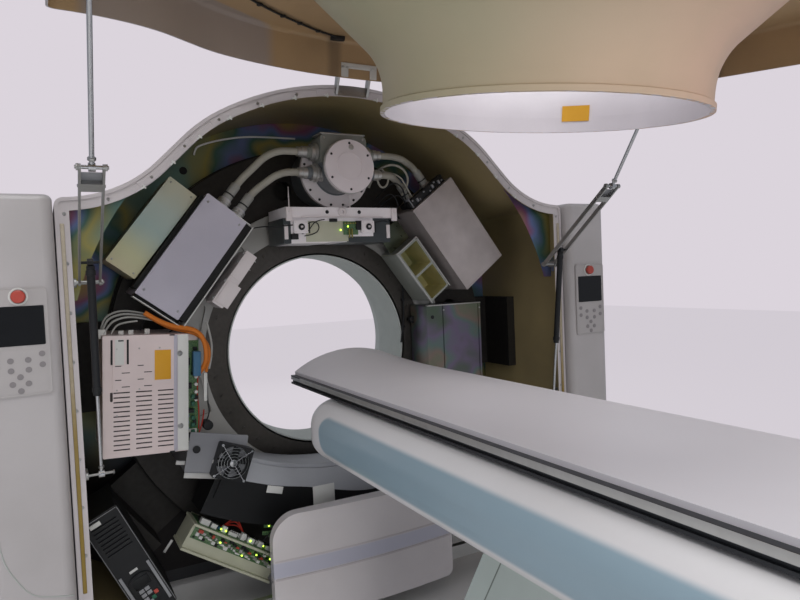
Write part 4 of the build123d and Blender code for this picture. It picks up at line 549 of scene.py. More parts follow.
# %% Finishes of the CAD nodes
cad_finishes = {
    dark_paint: ("base_frame", "pylons", "table_base", "beam_frame", "drive_motor"),
    column_paint: ("left_column_cover", "right_column_cover"),
    panel_grey: ("control_panels",),
    key_grey: ("column_keypads",),
    steel: ("tilt_bearings", "left_fork", "right_fork", "hinge_bracket", "prop_brackets", "lower_sill",
            "drive_pulley", "cover_hinge", "levelling_rod", "bearing_inner_race"),
    chrome: ("left_cover_rod", "right_cover_rod", "left_gas_rod", "right_gas_rod"),
    black_paint: ("left_gas_cylinder", "right_gas_cylinder"),
    detector_paint: ("detector_housing",),
    red_plastic: ("left_stop_button", "right_stop_button"),
    glass_dark: ("column_displays",),
    housing_shell: ("rear_housing",),
    cover_mould: ("cover_shell",),
    funnel_mould: ("funnel",),
    machined: ("bolt_ring",),
    drum_metal: ("ring_frame", "rotor_drum"),
    cast: ("drum_ring",),
    turned_plate: ("tube_flange",),
    tunnel_skin: ("tunnel",),
    zinc_deep: ("shroud_plates",),
    zinc_pale: ("inverter_box",),
    bracket_paint: ("fan_bracket",),
    bay_sheet: ("bay_frame",),
    box_sheet: ("lower_right_box",),
    kick_paint: ("lower_front_cover",),
    black_plastic: ("drive_inverter", "fan_frame", "fan_blades"),
    belt_rubber: ("drive_belt",),
    tube_coat: ("xray_tube",),
    white_box: ("slim_module",),
    supply_paint: ("power_supply",),
    collimator_paint: ("collimator",),
    tank_paint: ("left_tank",),
    tank_metal: ("right_tank",),
    board_skin: ("board_module",),
    hose_skin: ("rotor_hoses",),
    leg_seam: ("lift_leg",),
    beam_paint: ("beam_cover",),
    cradle_skin: ("cradle",),
    anodised: ("side_rails",),
}
for finish, names in cad_finishes.items():
    for name in names:
        cad[name].data.materials.clear()
        cad[name].data.materials.append(finish.material)
unpainted = sorted(set(cad) - {n for names in cad_finishes.values() for n in names})
print("nodes without a finish:", unpainted)

# %% [markdown]
# ## A small bench of mesh tools
# Every new piece starts as a bmesh in millimetres. `facing` gives the same planes as on the CAD
# drawing: a place on the gantry that looks at the front, turned about the bore axis. `finish_piece`
# scales the mesh to metres, and says what it rides on and what it is made of.

# %% Planes, in millimetres
FLOOR_TO_AXIS = 958


def framed_at(spot, x_way, y_way, z_way):
    """A frame at a point, whose X, Y and Z run along three directions."""
    return Matrix.Translation(spot) @ Matrix((x_way, y_way, z_way)).transposed().to_4x4()


def facing(y, x=0.0, z=0.0, turn=0.0):
    """A frame on the gantry: its X runs along turn, its Z comes out towards the front."""
    a = radians(turn)
    return framed_at((x, y, FLOOR_TO_AXIS + z), (cos(a), 0, sin(a)), (-sin(a), 0, cos(a)), (0, -1, 0))


def at_depth(y, points, base=FLOOR_TO_AXIS):
    """Places in a plane across the gantry, from their X and their height above base."""
    return [(x, y, base + z) for x, z in points]


def above_axis(points):
    """Places from their X, their depth and their height above the bore axis."""
    return [(x, y, FLOOR_TO_AXIS + z) for x, y, z in points]


def moved(place, x=0.0, y=0.0, z=0.0):
    return place @ Matrix.Translation((x, y, z))


def turned(place, angle, axis="Z"):
    return place @ Matrix.Rotation(radians(angle), 4, axis)


def looking(place, direction):
    """A frame at a point whose Z looks along a direction."""
    return Matrix.Translation(place) @ Vector(direction).to_track_quat("Z", "X").to_matrix().to_4x4()


# %% Shapes, each made by a bmesh operator
def block(mesh, size, place, bevel=0.8, segments=2):
    """A box that stands on its frame, with small rounded edges."""
    made = bmesh.ops.create_cube(mesh, size=1,
                                 matrix=moved(place, z=size[2] / 2) @ Matrix.Diagonal((*size, 1)))
    if bevel:
        edges = {edge for vert in made["verts"] for edge in vert.link_edges}
        bmesh.ops.bevel(mesh, geom=list(edges), offset=bevel, offset_type="OFFSET", affect="EDGES",
                        segments=segments, profile=0.5, material=-1, clamp_overlap=True)


def round_bar(mesh, radius, length, place, segments=24, bevel=0.0, top=None):
    """A cylinder or a cone that stands on its frame."""
    made = bmesh.ops.create_cone(mesh, cap_ends=True, segments=segments, radius1=radius,
                                 radius2=radius if top is None else top, depth=length,
                                 matrix=moved(place, z=length / 2))
    if bevel:
        rims = {edge for vert in made["verts"] for edge in vert.link_edges
                if len({round((place.inverted() @ v.co).z, 3) for v in edge.verts}) == 1}
        bmesh.ops.bevel(mesh, geom=list(rims), offset=bevel, offset_type="OFFSET", affect="EDGES",
                        segments=2, profile=0.5, material=-1, clamp_overlap=True)


def lathe(mesh, outline, place, segments=32):
    """Turns an outline of (radius, height) points about the frame's Z."""
    verts = [mesh.verts.new(place @ Vector((radius, 0, height))) for radius, height in outline]
    edges = [mesh.edges.new(pair) for pair in zip(verts, verts[1:] + verts[:1])]
    bmesh.ops.spin(mesh, geom=verts + edges, cent=place.translation, axis=place.to_3x3() @ Vector((0, 0, 1)),
                   dvec=(0, 0, 0), angle=2 * pi, steps=segments, use_merge=True, use_duplicate=False)


def screw(mesh, place, radius=4.0, height=2.4):
    """A pan-head screw with a socket: a short cone whose top is inset and sunk."""
    made = bmesh.ops.create_cone(mesh, cap_ends=True, segments=12, radius1=radius, radius2=radius * 0.8,
                                 depth=height, matrix=moved(place, z=height / 2))
    up = place.to_3x3() @ Vector((0, 0, 1))
    around = {face for vert in made["verts"] for face in vert.link_faces}
    top = [face for face in around if face.normal.dot(up) > 0.9]
    bmesh.ops.inset_region(mesh, faces=top, thickness=radius * 0.35, depth=0)
    sunk = bmesh.ops.extrude_discrete_faces(mesh, faces=top)["faces"]
    bmesh.ops.translate(mesh, verts=list({v for face in sunk for v in face.verts}), vec=up * (-height * 0.6))


def nut(mesh, place, radius=6.0, height=5.0):
    round_bar(mesh, radius, height, place, segments=6, bevel=0.5)
    round_bar(mesh, radius * 0.5, height * 1.6, place, segments=10)


# %% A finished piece
def finish_piece(name, mesh, body, finish, crease=35.0):
    """Turns a bmesh in millimetres into an object in metres that rides on a body."""
    bmesh.ops.remove_doubles(mesh, verts=mesh.verts, dist=0.001)
    bmesh.ops.recalc_face_normals(mesh, faces=mesh.faces)
    bmesh.ops.scale(mesh, vec=(0.001, 0.001, 0.001), verts=mesh.verts)
    data = bpy.data.meshes.new(name)
    mesh.to_mesh(data)
    mesh.free()
    data.polygons.foreach_set("use_smooth", [True] * len(data.polygons))
    data.set_sharp_from_angle(angle=radians(crease))
    data.materials.append(finish.material)
    piece = bpy.data.objects.new(name, data)
    bpy.context.scene.collection.objects.link(piece)
    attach(piece, body)
    return piece


def swept(points, radius, kind="NURBS", closed=False):
    """A round bar along a curve, as mesh data in the unit of its points."""
    curve = bpy.data.curves.new("route", "CURVE")
    curve.dimensions = "3D"
    spline = curve.splines.new(kind)
    spline.points.add(len(points) - 1)
    for point, spot in zip(spline.points, points):
        point.co = (*spot, 1)
    if kind == "NURBS":
        spline.order_u, spline.use_endpoint_u, spline.resolution_u = 3, True, 8
    spline.use_cyclic_u = closed
    curve.bevel_depth, curve.bevel_resolution, curve.use_fill_caps = radius, 2, not closed
    holder = bpy.data.objects.new("route", curve)
    data = bpy.data.meshes.new_from_object(holder)
    bpy.data.objects.remove(holder)
    return data


def cables(name, routes, body, finish):
    """Several fixed cables in one piece; each route is (radius, points). Curves are made in metres."""
    mesh = bmesh.new()
    for radius, points in routes:
        mesh.from_mesh(swept([[0.001 * c for c in spot] for spot in points], 0.001 * radius))
    bmesh.ops.scale(mesh, vec=(1000, 1000, 1000), verts=mesh.verts)
    return finish_piece(name, mesh, body, finish, 60)


print("the bench is ready")

# %% [markdown]
# ## The flange of the housing
# The housing's front edge is a flange that the front cover closes on. It carries a raised edge
# trim, short joint plates, screws, spring clips along its inner edge, and an aged foam seal down
# each side. All of them follow the bell outline, so that outline is worked out once, as a path of
# points at any inset.

# %% The bell outline as a path
def swing(start, tangent, end, steps=10):
    """Points on the arc that leaves start along tangent and ends at end."""
    chord = end - start
    turn = atan2(tangent.cross(chord), tangent.dot(chord))
    found = []
    for i in range(1, steps + 1):
        a = turn * i / steps
        reach = chord.length * sin(a) / sin(turn)
        way = Vector((tangent.x * cos(a) - tangent.y * sin(a), tangent.x * sin(a) + tangent.y * cos(a)))
        found.append(start + way * reach)
    return found


def bell_path(inset, bottom=-690):
    """The right half of the outline, from its top down to a height on its side."""
    radius, side, slope = 950 - inset, 943 - inset, inset * sqrt(0.5)
    corner = max(24 - inset, 2)
    path = [Vector((radius * cos(radians(a)), radius * sin(radians(a)))) for a in range(90, 60, -1)]
    waist, knee = Vector((584.7 - slope, 735.5 - slope)), Vector((660.1 - slope, 660.1 - slope))
    path += swing(path[-1], Vector((sin(radians(61)), -cos(radians(61)))), waist)
    path.append(knee)
    path += swing(knee, Vector((1, -1)).normalized(), Vector((side - corner, 548 - inset)))
    path += swing(path[-1], Vector((1, 0)), Vector((side, 548 - inset - corner)), 4)
    return path + [Vector((side, z)) for z in (400, 200, 0, -200, -400, -600, bottom)]


def stations(path, spacing, start=0.0):
    """Places at equal distances along a path, each with its direction."""
    walked, wanted, found = 0.0, start, []
    for here, there in zip(path, path[1:]):
        run = (there - here).length
        while run and wanted <= walked + run:
            found.append((here.lerp(there, (wanted - walked) / run), (there - here).normalized()))
            wanted += spacing
        walked += run
    return found


def band(mesh, outer, inner, back, thickness):
    """A flat strip between two paths on the gantry, raised towards the front."""
    for side in (-1, 1):
        rows = [[mesh.verts.new((side * p.x, back, FLOOR_TO_AXIS + p.y)) for p in path]
                for path in (outer, inner)]
        edges = [mesh.edges.new(pair) for row in rows for pair in zip(row, row[1:])]
        faces = bmesh.ops.bridge_loops(mesh, edges=edges)["faces"]
        raised = bmesh.ops.extrude_face_region(mesh, geom=faces)["geom"]
        bmesh.ops.translate(mesh, verts=[v for v in raised if isinstance(v, bmesh.types.BMVert)],
                            vec=(0, -thickness, 0))


# %% Edge trim and joint plates
FLANGE = -400
mesh = bmesh.new()
band(mesh, bell_path(1), bell_path(11), FLANGE - 0.2, 4)
finish_piece("flange_edge_trim", mesh, "tilt_frame", flange_white)
mesh = bmesh.new()
outer, inner = bell_path(13), bell_path(36)
for first, last in ((3, 9), (14, 20), (25, 33), (38, 44)):
    band(mesh, outer[first:last], inner[first:last], FLANGE - 0.2, 1.6)
finish_piece("flange_joint_plates", mesh, "tilt_frame", flange_white)

# %% Screws and clips along the flange
mesh = bmesh.new()
for side in (-1, 1):
    for spot, way in stations(bell_path(25), 142, 60):
        screw(mesh, facing(FLANGE - 1.4, side * spot.x, spot.y), 5, 2.6)
finish_piece("flange_screws", mesh, "tilt_frame", steel)
mesh = bmesh.new()
for side in (-1, 1):
    for spot, way in stations(bell_path(36)[:46], 118, 95):
        place = facing(FLANGE + 4, side * spot.x, spot.y, side * degrees(atan2(way.y, way.x)))
        block(mesh, (17, 5, 9), place, 1.0)
        block(mesh, (5, 14, 3), moved(place, x=4, z=7), 0.8)
finish_piece("flange_clips", mesh, "tilt_frame", label_white)

# %% The aged foam seals beside the columns
mesh = bmesh.new()
for side in (-1, 1):
    block(mesh, (11, 1075, 6), facing(FLANGE - 0.2, side * 925, -65), 2.4, 3)
finish_piece("side_foam_seals", mesh, "tilt_frame", foam)
print("the flange is dressed")

# %% [markdown]
# ## Columns
# A column carries an operator panel. Its stop button sits in a collar, and the panel is framed by a
# thin bead. Low down, a narrow groove crosses the column's front. It could be cut into the cover;
# a thin rod in a greyer tone of painted shade, partly sunk into the front, reads as the same line from a step
# away.

# %% Collars, panel beads and grooves
PANEL_FACE = -450
mesh = bmesh.new()
for side in (-1, 1):
    lathe(mesh, ((19.5, 0), (24, 0), (24, 2.2), (22.5, 3.4), (19.5, 3.4)),
          facing(PANEL_FACE - 0.2, side * 1043, 1229 - FLOOR_TO_AXIS), 40)
finish_piece("stop_button_collars", mesh, "root", label_white)


def bead(mesh, place, width, height, corner, radius, steps=8):
    """A thin round bead along a rounded rectangle: its centre line, thickened by a sweep."""
    points = []
    for cx, cy, first in ((1, 1, 0), (-1, 1, 90), (-1, -1, 180), (1, -1, 270)):
        for i in range(steps + 1):
            a = radians(first + 90 * i / steps)
            points.append(place @ Vector((cx * (width / 2 - corner) + corner * cos(a),
                                          cy * (height / 2 - corner) + corner * sin(a), 0)))
    mesh.from_mesh(swept(points, radius, "POLY", closed=True))


mesh = bmesh.new()
for side in (-1, 1):
    bead(mesh, facing(PANEL_FACE - 0.2, side * 1050, 1105.5 - FLOOR_TO_AXIS), 150, 292, 10, 1.1)
    bead(mesh, facing(PANEL_FACE - 0.2, side * 1050, 1149 - FLOOR_TO_AXIS), 134, 110, 4, 0.9)
finish_piece("column_beads", mesh, "root", panel_grey)
COLUMN_FACE = -444.6
GROOVE = ((1128, 580), (1122, 520), (1100, 468), (1062, 404), (1010, 386), (954, 376))
# the rod's greyer tone is painted shade of the groove
cables("column_grooves", [(1.8, [(side * x, COLUMN_FACE, z) for x, z in GROOVE]) for side in (-1, 1)],
       "root", groove_shade_tone)
print("the columns are dressed")

# %% [markdown]
# ## Props of the front cover
# Each prop folds at a knee. The pivots have nuts, a plate near the knee ties the fork's two cheeks
# together, the rod is screwed into its knee block with a lock nut, and the gas spring has a collar
# at each end.

# %% Pins, nuts and collars of the props
FORK_PIVOT, KNEE, ROD_TOP = (-412, 1260), (-765, 1534), (-1000, 1880)
BALL_LOW, BALL_HIGH, YOKE_SCREW = (-412, 700), (-483.1, 1315.2), (-716, 1496)
PROP_X, CHEEK = 863, 30                     # a prop's middle, and half its width over the cheeks


def across(x, spot, side):
    """A frame at a pivot of a prop, looking sideways."""
    return looking((x, spot[0], spot[1]), (side, 0, 0))


def between(x, start, end, share):
    """A frame on the line between two pivots of a prop, looking along it."""
    a, b = Vector((x, *start)), Vector((x, *end))
    return looking(a.lerp(b, share), b - a)


for side, hand in ((-1, "left"), (1, "right")):
    middle = side * PROP_X
    mesh = bmesh.new()
    for out in (-1, 1):
        nut(mesh, across(middle + out * CHEEK, KNEE, out), 9, 5)
        if out != side:
            nut(mesh, across(middle + out * CHEEK, FORK_PIVOT, out), 9, 5)
    for out in (-1, 1):
        screw(mesh, across(middle + out * CHEEK, YOKE_SCREW, out), 4.5, 2.4)
    finish_piece(hand + "_fork_fittings", mesh, hand + "_fork", steel)
    mesh = bmesh.new()
    way = Vector((0, FORK_PIVOT[0] - KNEE[0], FORK_PIVOT[1] - KNEE[1])).normalized()
    yoke = framed_at(Vector((middle, *KNEE)) + way * 46, (1, 0, 0), way, Vector((1, 0, 0)).cross(way))
    block(mesh, (54, 44, 3), moved(yoke, z=6), 1)
    finish_piece(hand + "_fork_yoke", mesh, hand + "_fork", bracket_paint)
    mesh = bmesh.new()
    nut(mesh, between(middle, KNEE, ROD_TOP, 0.042), 10, 8)
    nut(mesh, between(middle, KNEE, ROD_TOP, 0.93), 9, 8)
    finish_piece(hand + "_rod_nuts", mesh, hand + "_cover_rod", steel)
    mesh = bmesh.new()
    lathe(mesh, ((11.2, 0), (13.5, 0), (13.5, 12), (11.2, 14)), between(middle, BALL_LOW, BALL_HIGH, 0.40), 28)
    lathe(mesh, ((11.2, 0), (13, 2), (13, 14), (11.2, 16)), between(middle, BALL_LOW, BALL_HIGH, 0.94), 28)
    finish_piece(hand + "_gas_collars", mesh, hand + "_gas_cylinder", black_plastic)
    mesh = bmesh.new()
    nut(mesh, between(middle, BALL_LOW, BALL_HIGH, 0.028), 8, 7)
    finish_piece(hand + "_gas_nut", mesh, hand + "_gas_rod", steel)

mesh = bmesh.new()
for side in (-1, 1):
    for spot in (FORK_PIVOT, BALL_LOW):
        screw(mesh, across(side * 831.5, spot, -side), 7, 4)
for x in (-40, 40):
    screw(mesh, facing(-406, x, 1883 - FLOOR_TO_AXIS), 5, 3)
finish_piece("bracket_screws", mesh, "tilt_frame", steel)
print("the props are dressed")

# %% [markdown]
# ## Inside the raised cover
# A dark cable runs along the resin, held by clips, and ends in a connector. The mouth carries a
# small bare yellow plate. A white plate with two feet is screwed on below the hinge.

# %% Cable, clips and bare plates of the cover
def under_cover(x, below, out=94.0):
    """A frame on the cover's inner face: its Z looks down into the gantry."""
    spot = HINGE * 1000 - COVER_UP * below + COVER_OUT * out
    return framed_at(spot + Vector((x, 0, 0)), (1, 0, 0), -COVER_UP, -COVER_OUT)


def under(x, below, out=91.0):
    return under_cover(x, below, out).translation


cables("cover_cable", ((3.2, [under(x, d) for x, d in ((-640, 560), (-600, 500), (-520, 400), (-421, 305),
                                                       (-340, 236), (-260, 179), (-180, 122), (-110, 92))]),),
       "front_cover", black_skin)
mesh = bmesh.new()
for x, d, turn in ((-560, 448, 50), (-421, 305, 45), (-330, 229, 35), (-260, 179, 35), (-180, 124, 30)):
    block(mesh, (16, 11, 7), turned(under_cover(x, d), turn), 1.5)
finish_piece("cover_cable_clips", mesh, "front_cover", black_plastic)
mesh = bmesh.new()
block(mesh, (46, 20, 14), turned(under_cover(-98, 86), 12), 2)
block(mesh, (60, 40, 24), under_cover(-650, 575), 3)
finish_piece("cover_cable_ends", mesh, "front_cover", black_plastic)


def curved_plate(name, radius, angles, heights, thickness, finish):
    """A thin plate on a round wall about the cover's axis: a slim outline that is spun a little."""
    mesh = bmesh.new()
    centre = cover_axis * 1000
    place = turned(framed_at(centre, (1, 0, 0), COVER_OUT.cross(Vector((1, 0, 0))), COVER_OUT), angles[0])
    corners = ((radius, heights[0]), (radius + thickness, heights[0]), (radius + thickness, heights[1]),
               (radius, heights[1]))
    verts = [mesh.verts.new(place @ Vector((r, 0, h))) for r, h in corners]
    face = mesh.faces.new(verts)
    bmesh.ops.spin(mesh, geom=[face, *face.edges, *verts], cent=centre, axis=COVER_OUT, dvec=(0, 0, 0),
                   angle=radians(angles[1] - angles[0]), steps=6)
    finish_piece(name, mesh, "front_cover", finish)


curved_plate("mouth_plate", 339.6, (28, 40), (-212, -172), 2.0, label_yellow)
mesh = bmesh.new()
hinge_face = framed_at(HINGE * 1000 - 42 * COVER_UP, (-1, 0, 0), COVER_OUT, -COVER_UP)
block(mesh, (132, 18, 3), moved(hinge_face, y=15), 1)
for x in (-53, 53):
    block(mesh, (26, 36, 3), moved(hinge_face, x=x, y=-4), 1)
    screw(mesh, moved(hinge_face, x=x, y=12, z=3), 5, 3)
finish_piece("hinge_plate", mesh, "front_cover", label_white)
print("the cover is dressed")

# %% [markdown]
# ## X-ray tube and hoses
# The tube's round end plate is a turned plate held by six screws, with a hexagon plug at its top.
# The mounting flange below it shows its bolts. Each hose screws into the tube through a collar and
# a coupling nut, and wears a sleeve where it leaves a tank.

# %% Tube screws, plug and bolts
silver = brushed("silver fitting", "d3d2cf", "b3b2af", 0.3, (1, 1, 1), 0.75, 40.0)
TUBE = (30, 690)                            # the tube's axis, from the bore axis


def round_tube(y, radius, angle):
    """A frame on a circle about the tube's axis."""
    a = radians(angle)
    return facing(y, TUBE[0] + radius * cos(a), TUBE[1] + radius * sin(a))


mesh = bmesh.new()
for k in range(6):
    round_bar(mesh, 4.6, 2.2, round_tube(-300.2, 84, 30 + 60 * k), 12, 0.4)
for k in range(16):
    if sin(radians(11.25 + 22.5 * k)) < 0.3:
        screw(mesh, round_tube(-162.2, 128, 11.25 + 22.5 * k), 5, 4)
finish_piece("tube_screws", mesh, "rotor", black_plastic)
mesh = bmesh.new()
lathe(mesh, ((3.5, 0), (10, 0), (10, 2.5), (8, 4), (3.5, 4)), facing(-300.2, 37, 759), 24)
nut(mesh, facing(-300.2, 37, 759), 6, 3)
for x in (-48, 108):
    for z in (722, 800):
        screw(mesh, facing(-250.2, x, z), 5, 3)
block(mesh, (182, 6, 84), facing(-164, 30, 817.4), 1.5)
lathe(mesh, ((97.3, 0), (100, 0), (100, 5), (97.3, 5)), facing(-285, *TUBE), 72)
finish_piece("tube_fittings", mesh, "rotor", silver)

# %% Hose couplings at the tube, connectors and sleeves at the tanks
sockets = [looking((TUBE[0] + side * 135, -206, FLOOR_TO_AXIS + TUBE[1] + height), (side, 0, 0))
           for height in (-14, 62) for side in (-1, 1)]
tank_ends = []
for place, reach, acrosses in ((facing(-190, -537, 377, 52.5), 204, (-46, 14)),
                               (facing(-120, 564, 445, -53), -207.5, (-60, 40))):
    way = place.to_3x3() @ Vector((reach, 0, 0))
    tank_ends += [(looking(place @ Vector((reach, across, 0)), way), 19 if reach > 0 else 22)
                  for across in acrosses]
mesh = bmesh.new()
for place in sockets:
    back = moved(place, z=-62)
    lathe(mesh, ((22.3, 0), (31, 0), (31, 7), (27, 9), (27, 16), (22.3, 16)), back, 36)
    lathe(mesh, ((22.3, 22), (34, 22), (34, 31), (30, 33), (30, 46), (22.3, 46)), back, 36)
    lathe(mesh, ((13.3, 0.3), (21, 0.3), (21, 16), (18, 20), (18, 34), (13.3, 34)), place, 36)
for place, radius in tank_ends:
    ribs = [(radius + 0.3, 1)]
    for low in (1, 9, 17, 25):
        ribs += [(radius + 5, low), (radius + 5, low + 5), (radius + 2, low + 6), (radius + 2, low + 8)]
    lathe(mesh, (*ribs, (radius + 0.3, 33)), place, 36)
finish_piece("hose_couplings", mesh, "rotor", silver)
mesh = bmesh.new()
for place, radius in tank_ends:
    lathe(mesh, ((13.3, 36.3), (17.5, 36.3), (17.5, 96), (15.5, 99), (13.3, 99)), place, 28)
finish_piece("hose_sleeves", mesh, "rotor", grey_skin)
mesh = bmesh.new()
for place, radius in tank_ends:
    lathe(mesh, ((17.7, 52), (19, 52), (19, 57), (17.7, 57)), place, 20)
    block(mesh, (6, 8, 7), moved(place, x=18, z=51), 1)
finish_piece("hose_ties", mesh, "rotor", black_plastic)
print("the tube is dressed")

# %% [markdown]
# ## Collimator
# The rail at its top has two dark holes, a boss and end blocks. Below it, a cream plate fills the
# middle, with a small circuit board, two lamps, connectors and loops of thin cable. Two setting pins
# stand above the rail.

# %% Rail, panel and pins
RAIL_FRONT, BODY_FRONT = -255.2, -240.2
mesh = bmesh.new()
for x in (-200, 224):
    block(mesh, (22, 50, 12), facing(RAIL_FRONT, x, 518), 2)
    screw(mesh, facing(RAIL_FRONT - 12, x, 528), 4, 2.4)
lathe(mesh, ((6, 0), (17, 0), (17, 5), (14, 8), (6, 8)), facing(RAIL_FRONT, 9, 527), 32)
block(mesh, (330, 4, 8), facing(RAIL_FRONT, 12, 508), 1)
for x in (-156, 112):
    for across, up in ((-20, -17), (20, -17), (-20, 17), (20, 17)):
        screw(mesh, facing(BODY_FRONT - 20, x + across, 472 + up), 2.6, 1.6)
    round_bar(mesh, 4, 8, facing(-266.3, x, 472), 16, 0.6)
for x, z in ((-182, 548), (60, 548)):
    round_bar(mesh, 3, 78, looking((x, -215, FLOOR_TO_AXIS + z - 4), (0, 0, 1)), 12, 0, 1.2)
for x in (-206, 206):
    block(mesh, (14, 52, 60), facing(-185, x, 455), 2)
finish_piece("collimator_fittings", mesh, "rotor", white_box)
mesh = bmesh.new()
for x in (-51, 79):
    round_bar(mesh, 7, 1.6, facing(RAIL_FRONT, x, 527), 20, 0.4)
for x in (-156, 112):
    lathe(mesh, ((4.4, 0), (12, 0), (12, 1.5), (4.4, 1.5)), facing(-266.3, x, 472), 28)
    block(mesh, (5, 40, 4), facing(BODY_FRONT, x + 38, 470), 1)
block(mesh, (26, 20, 16), facing(BODY_FRONT, -178, 438), 2)
block(mesh, (24, 34, 14), facing(BODY_FRONT, 78, 478), 2)
block(mesh, (30, 12, 12), facing(BODY_FRONT, -24, 497), 2)
finish_piece("collimator_connectors", mesh, "rotor", black_plastic)
mesh = bmesh.new()
block(mesh, (168, 76, 3), facing(BODY_FRONT, -48, 457), 1)
finish_piece("collimator_plate", mesh, "rotor", board_skin)
mesh = bmesh.new()
block(mesh, (60, 50, 2), facing(BODY_FRONT - 6, 45, 468), 0.4)
finish_piece("collimator_board", mesh, "rotor", circuit)
mesh = bmesh.new()
for x, z in ((33, 474), (3, 461)):
    block(mesh, (6, 6, 3), facing(BODY_FRONT - 8.2, x, z), 0.8)
finish_piece("collimator_lamps", mesh, "rotor", led)
mesh = bmesh.new()
for x in (36, 47):
    round_bar(mesh, 3.2, 34, turned(facing(BODY_FRONT - 14, x, 432), -90, "X"), 10, 0.4)
for k in range(5):
    block(mesh, (7, 5, 4), facing(BODY_FRONT - 8.2, 22 + 11 * k, 486), 0.6)
finish_piece("collimator_pins", mesh, "rotor", zinc_gold)
cables("collimator_cables", (
    (1.8, at_depth(-249, ((-140, 478), (-116, 492), (-88, 490), (-80, 466), (-100, 446), (-140, 440)))),
    (1.8, at_depth(-249, ((-150, 448), (-128, 452), (-110, 478), (-92, 496), (-60, 500)))),
    (1.8, at_depth(-246, ((110, 494), (150, 486), (190, 500), (206, 490)))),
    (2.2, [(-330, -60, 1430), (-290, -180, 1438), (-250, -244, 1432), (-206, -246, 1436), (-160, -248, 1440)]),
), "rotor", black_skin)
print("the collimator is dressed")

# %% [markdown]
# ## Tanks and modules
# The left tank sits between dark rubber strips and a thin folded edge. The right tank has a black
# terminal board with nuts and clamps along its upper end, and loops of cable run past it. Like all
# cables here they are held at both ends on the rotor, so they turn with it.

# %% Left tank, plated box and slim module
tank = facing(-250.2, -537, 377, 52.5)
mesh = bmesh.new()
block(mesh, (396, 24, 150), moved(tank, y=-94, z=-152), 1.5)
block(mesh, (380, 14, 110), moved(tank, y=88.5, z=-130), 1.5)
block(mesh, (10, 150, 80), moved(tank, x=-210, z=-92), 1.5)
finish_piece("left_tank_strips", mesh, "rotor", belt_rubber)
mesh = bmesh.new()
block(mesh, (416, 3, 120), moved(tank, x=-6, y=-108, z=-116), 0.6)
block(mesh, (3, 186, 60), moved(tank, x=-217, y=-14, z=-56), 0.6)
block(mesh, (2.5, 60, 60), moved(tank, x=202, y=-66, z=-56), 0.6)
finish_piece("left_tank_edges", mesh, "rotor", label_white)
mesh = bmesh.new()
for x in (-180, 180):
    for y in (-64, 64):
        screw(mesh, moved(tank, x=x, y=y), 4, 2)
plated_lid = facing(-200.2, -653, 478, 52)
for x, y in ((-160, -40), (-160, 40), (160, -40), (160, 40)):
    screw(mesh, moved(plated_lid, x=x, y=y), 3.4, 1.6)
slim = facing(-220.2, -394, 294, 53)
for x in (-92, -20, 60, 96):
    block(mesh, (12, 5, 6), moved(slim, x=x, y=24.6, z=-10), 0.8)
    block(mesh, (3, 14, 4), moved(slim, x=x, y=-25, z=-22), 0.8)
finish_piece("tank_screws", mesh, "rotor", steel)
mesh = bmesh.new()
block(mesh, (86, 52, 4), moved(slim, x=-58, y=-10, z=0.2), 1)
block(mesh, (96, 44, 3), moved(slim, x=50, y=0, z=0.2), 1)
finish_piece("slim_module_plates", mesh, "rotor", white_box)

# %% Right tank: terminal board, and cables round it
tank = facing(-198.2, 564, 445, -53)
mesh = bmesh.new()
block(mesh, (34, 200, 26), moved(tank, x=-226, y=-6, z=-40), 2)
block(mesh, (20, 60, 60), moved(tank, x=-220, y=-70, z=-110), 2)
finish_piece("terminal_board", mesh, "rotor", black_plastic)
mesh = bmesh.new()
for x, y in ((-236, -86), (-220, -52), (-234, -20), (-219, 8), (-236, 44), (-221, 80)):
    nut(mesh, moved(tank, x=x, y=y, z=-14), 4, 4)
for x, y in ((-226, -66), (-228, 26), (-224, 62)):
    block(mesh, (16, 8, 10), moved(tank, x=x, y=y, z=-14), 1)
block(mesh, (44, 4, 40), moved(tank, x=-232, y=-98, z=-50), 1)
finish_piece("terminal_screws", mesh, "rotor", bracket_paint)
cables("right_loops", (
    (5, above_axis(((190, -120, 640), (200, -150, 690), (240, -170, 722), (290, -176, 728), (340, -170, 700),
                    (352, -160, 650), (330, -140, 610)))),
    (4, above_axis(((196, -190, 700), (186, -200, 660), (204, -205, 624), (232, -205, 640), (240, -200, 676),
                    (216, -190, 704)))),
    (3.5, above_axis(((236, -150, 700), (290, -190, 690), (330, -180, 640), (372, -150, 600)))),
), "rotor", hose_skin)
cables("right_dark_loops", (
    (3, above_axis(((230, -100, 600), (250, -160, 640), (290, -170, 660), (330, -170, 620), (350, -140, 560)))),
    (3, above_axis(((238, -90, 560), (270, -150, 600), (312, -170, 610), (340, -150, 570)))),
    (2.5, above_axis(((210, -120, 560), (240, -180, 612), (276, -190, 600), (300, -160, 560)))),
    (4, above_axis(((215, -80, 545), (262, -120, 566), (300, -120, 560), (345, -80, 520)))),
), "rotor", black_skin)

# %% Bays, the lower right box and the cable along the bore ring
bays = facing(-168.2, 405, 300, -53)
mesh = bmesh.new()
block(mesh, (262, 5, 12), moved(bays, y=-57, z=-10), 1)
block(mesh, (262, 5, 12), moved(bays, y=57, z=-10), 1)
block(mesh, (5, 112, 12), moved(bays, x=-128, z=-10), 1)
low = facing(-154.4, 557, -23)
for x in (-56, 128):
    screw(mesh, moved(low, x=x, y=150), 4, 2)
block(mesh, (270, 5, 20), moved(low, y=172, z=-18), 1.5)
finish_piece("sheet_edges", mesh, "rotor", silver)
mesh = bmesh.new()
block(mesh, (92, 112, 2), moved(bays, x=-176, y=2, z=-60), 0.5)
block(mesh, (2, 112, 60), moved(bays, x=-222, y=2, z=-118), 0.5)
finish_piece("bay_side_sheet", mesh, "rotor", zinc_olive)
mesh = bmesh.new()
round_bar(mesh, 8, 1.5, facing(-150.2, 447, 100), 20)
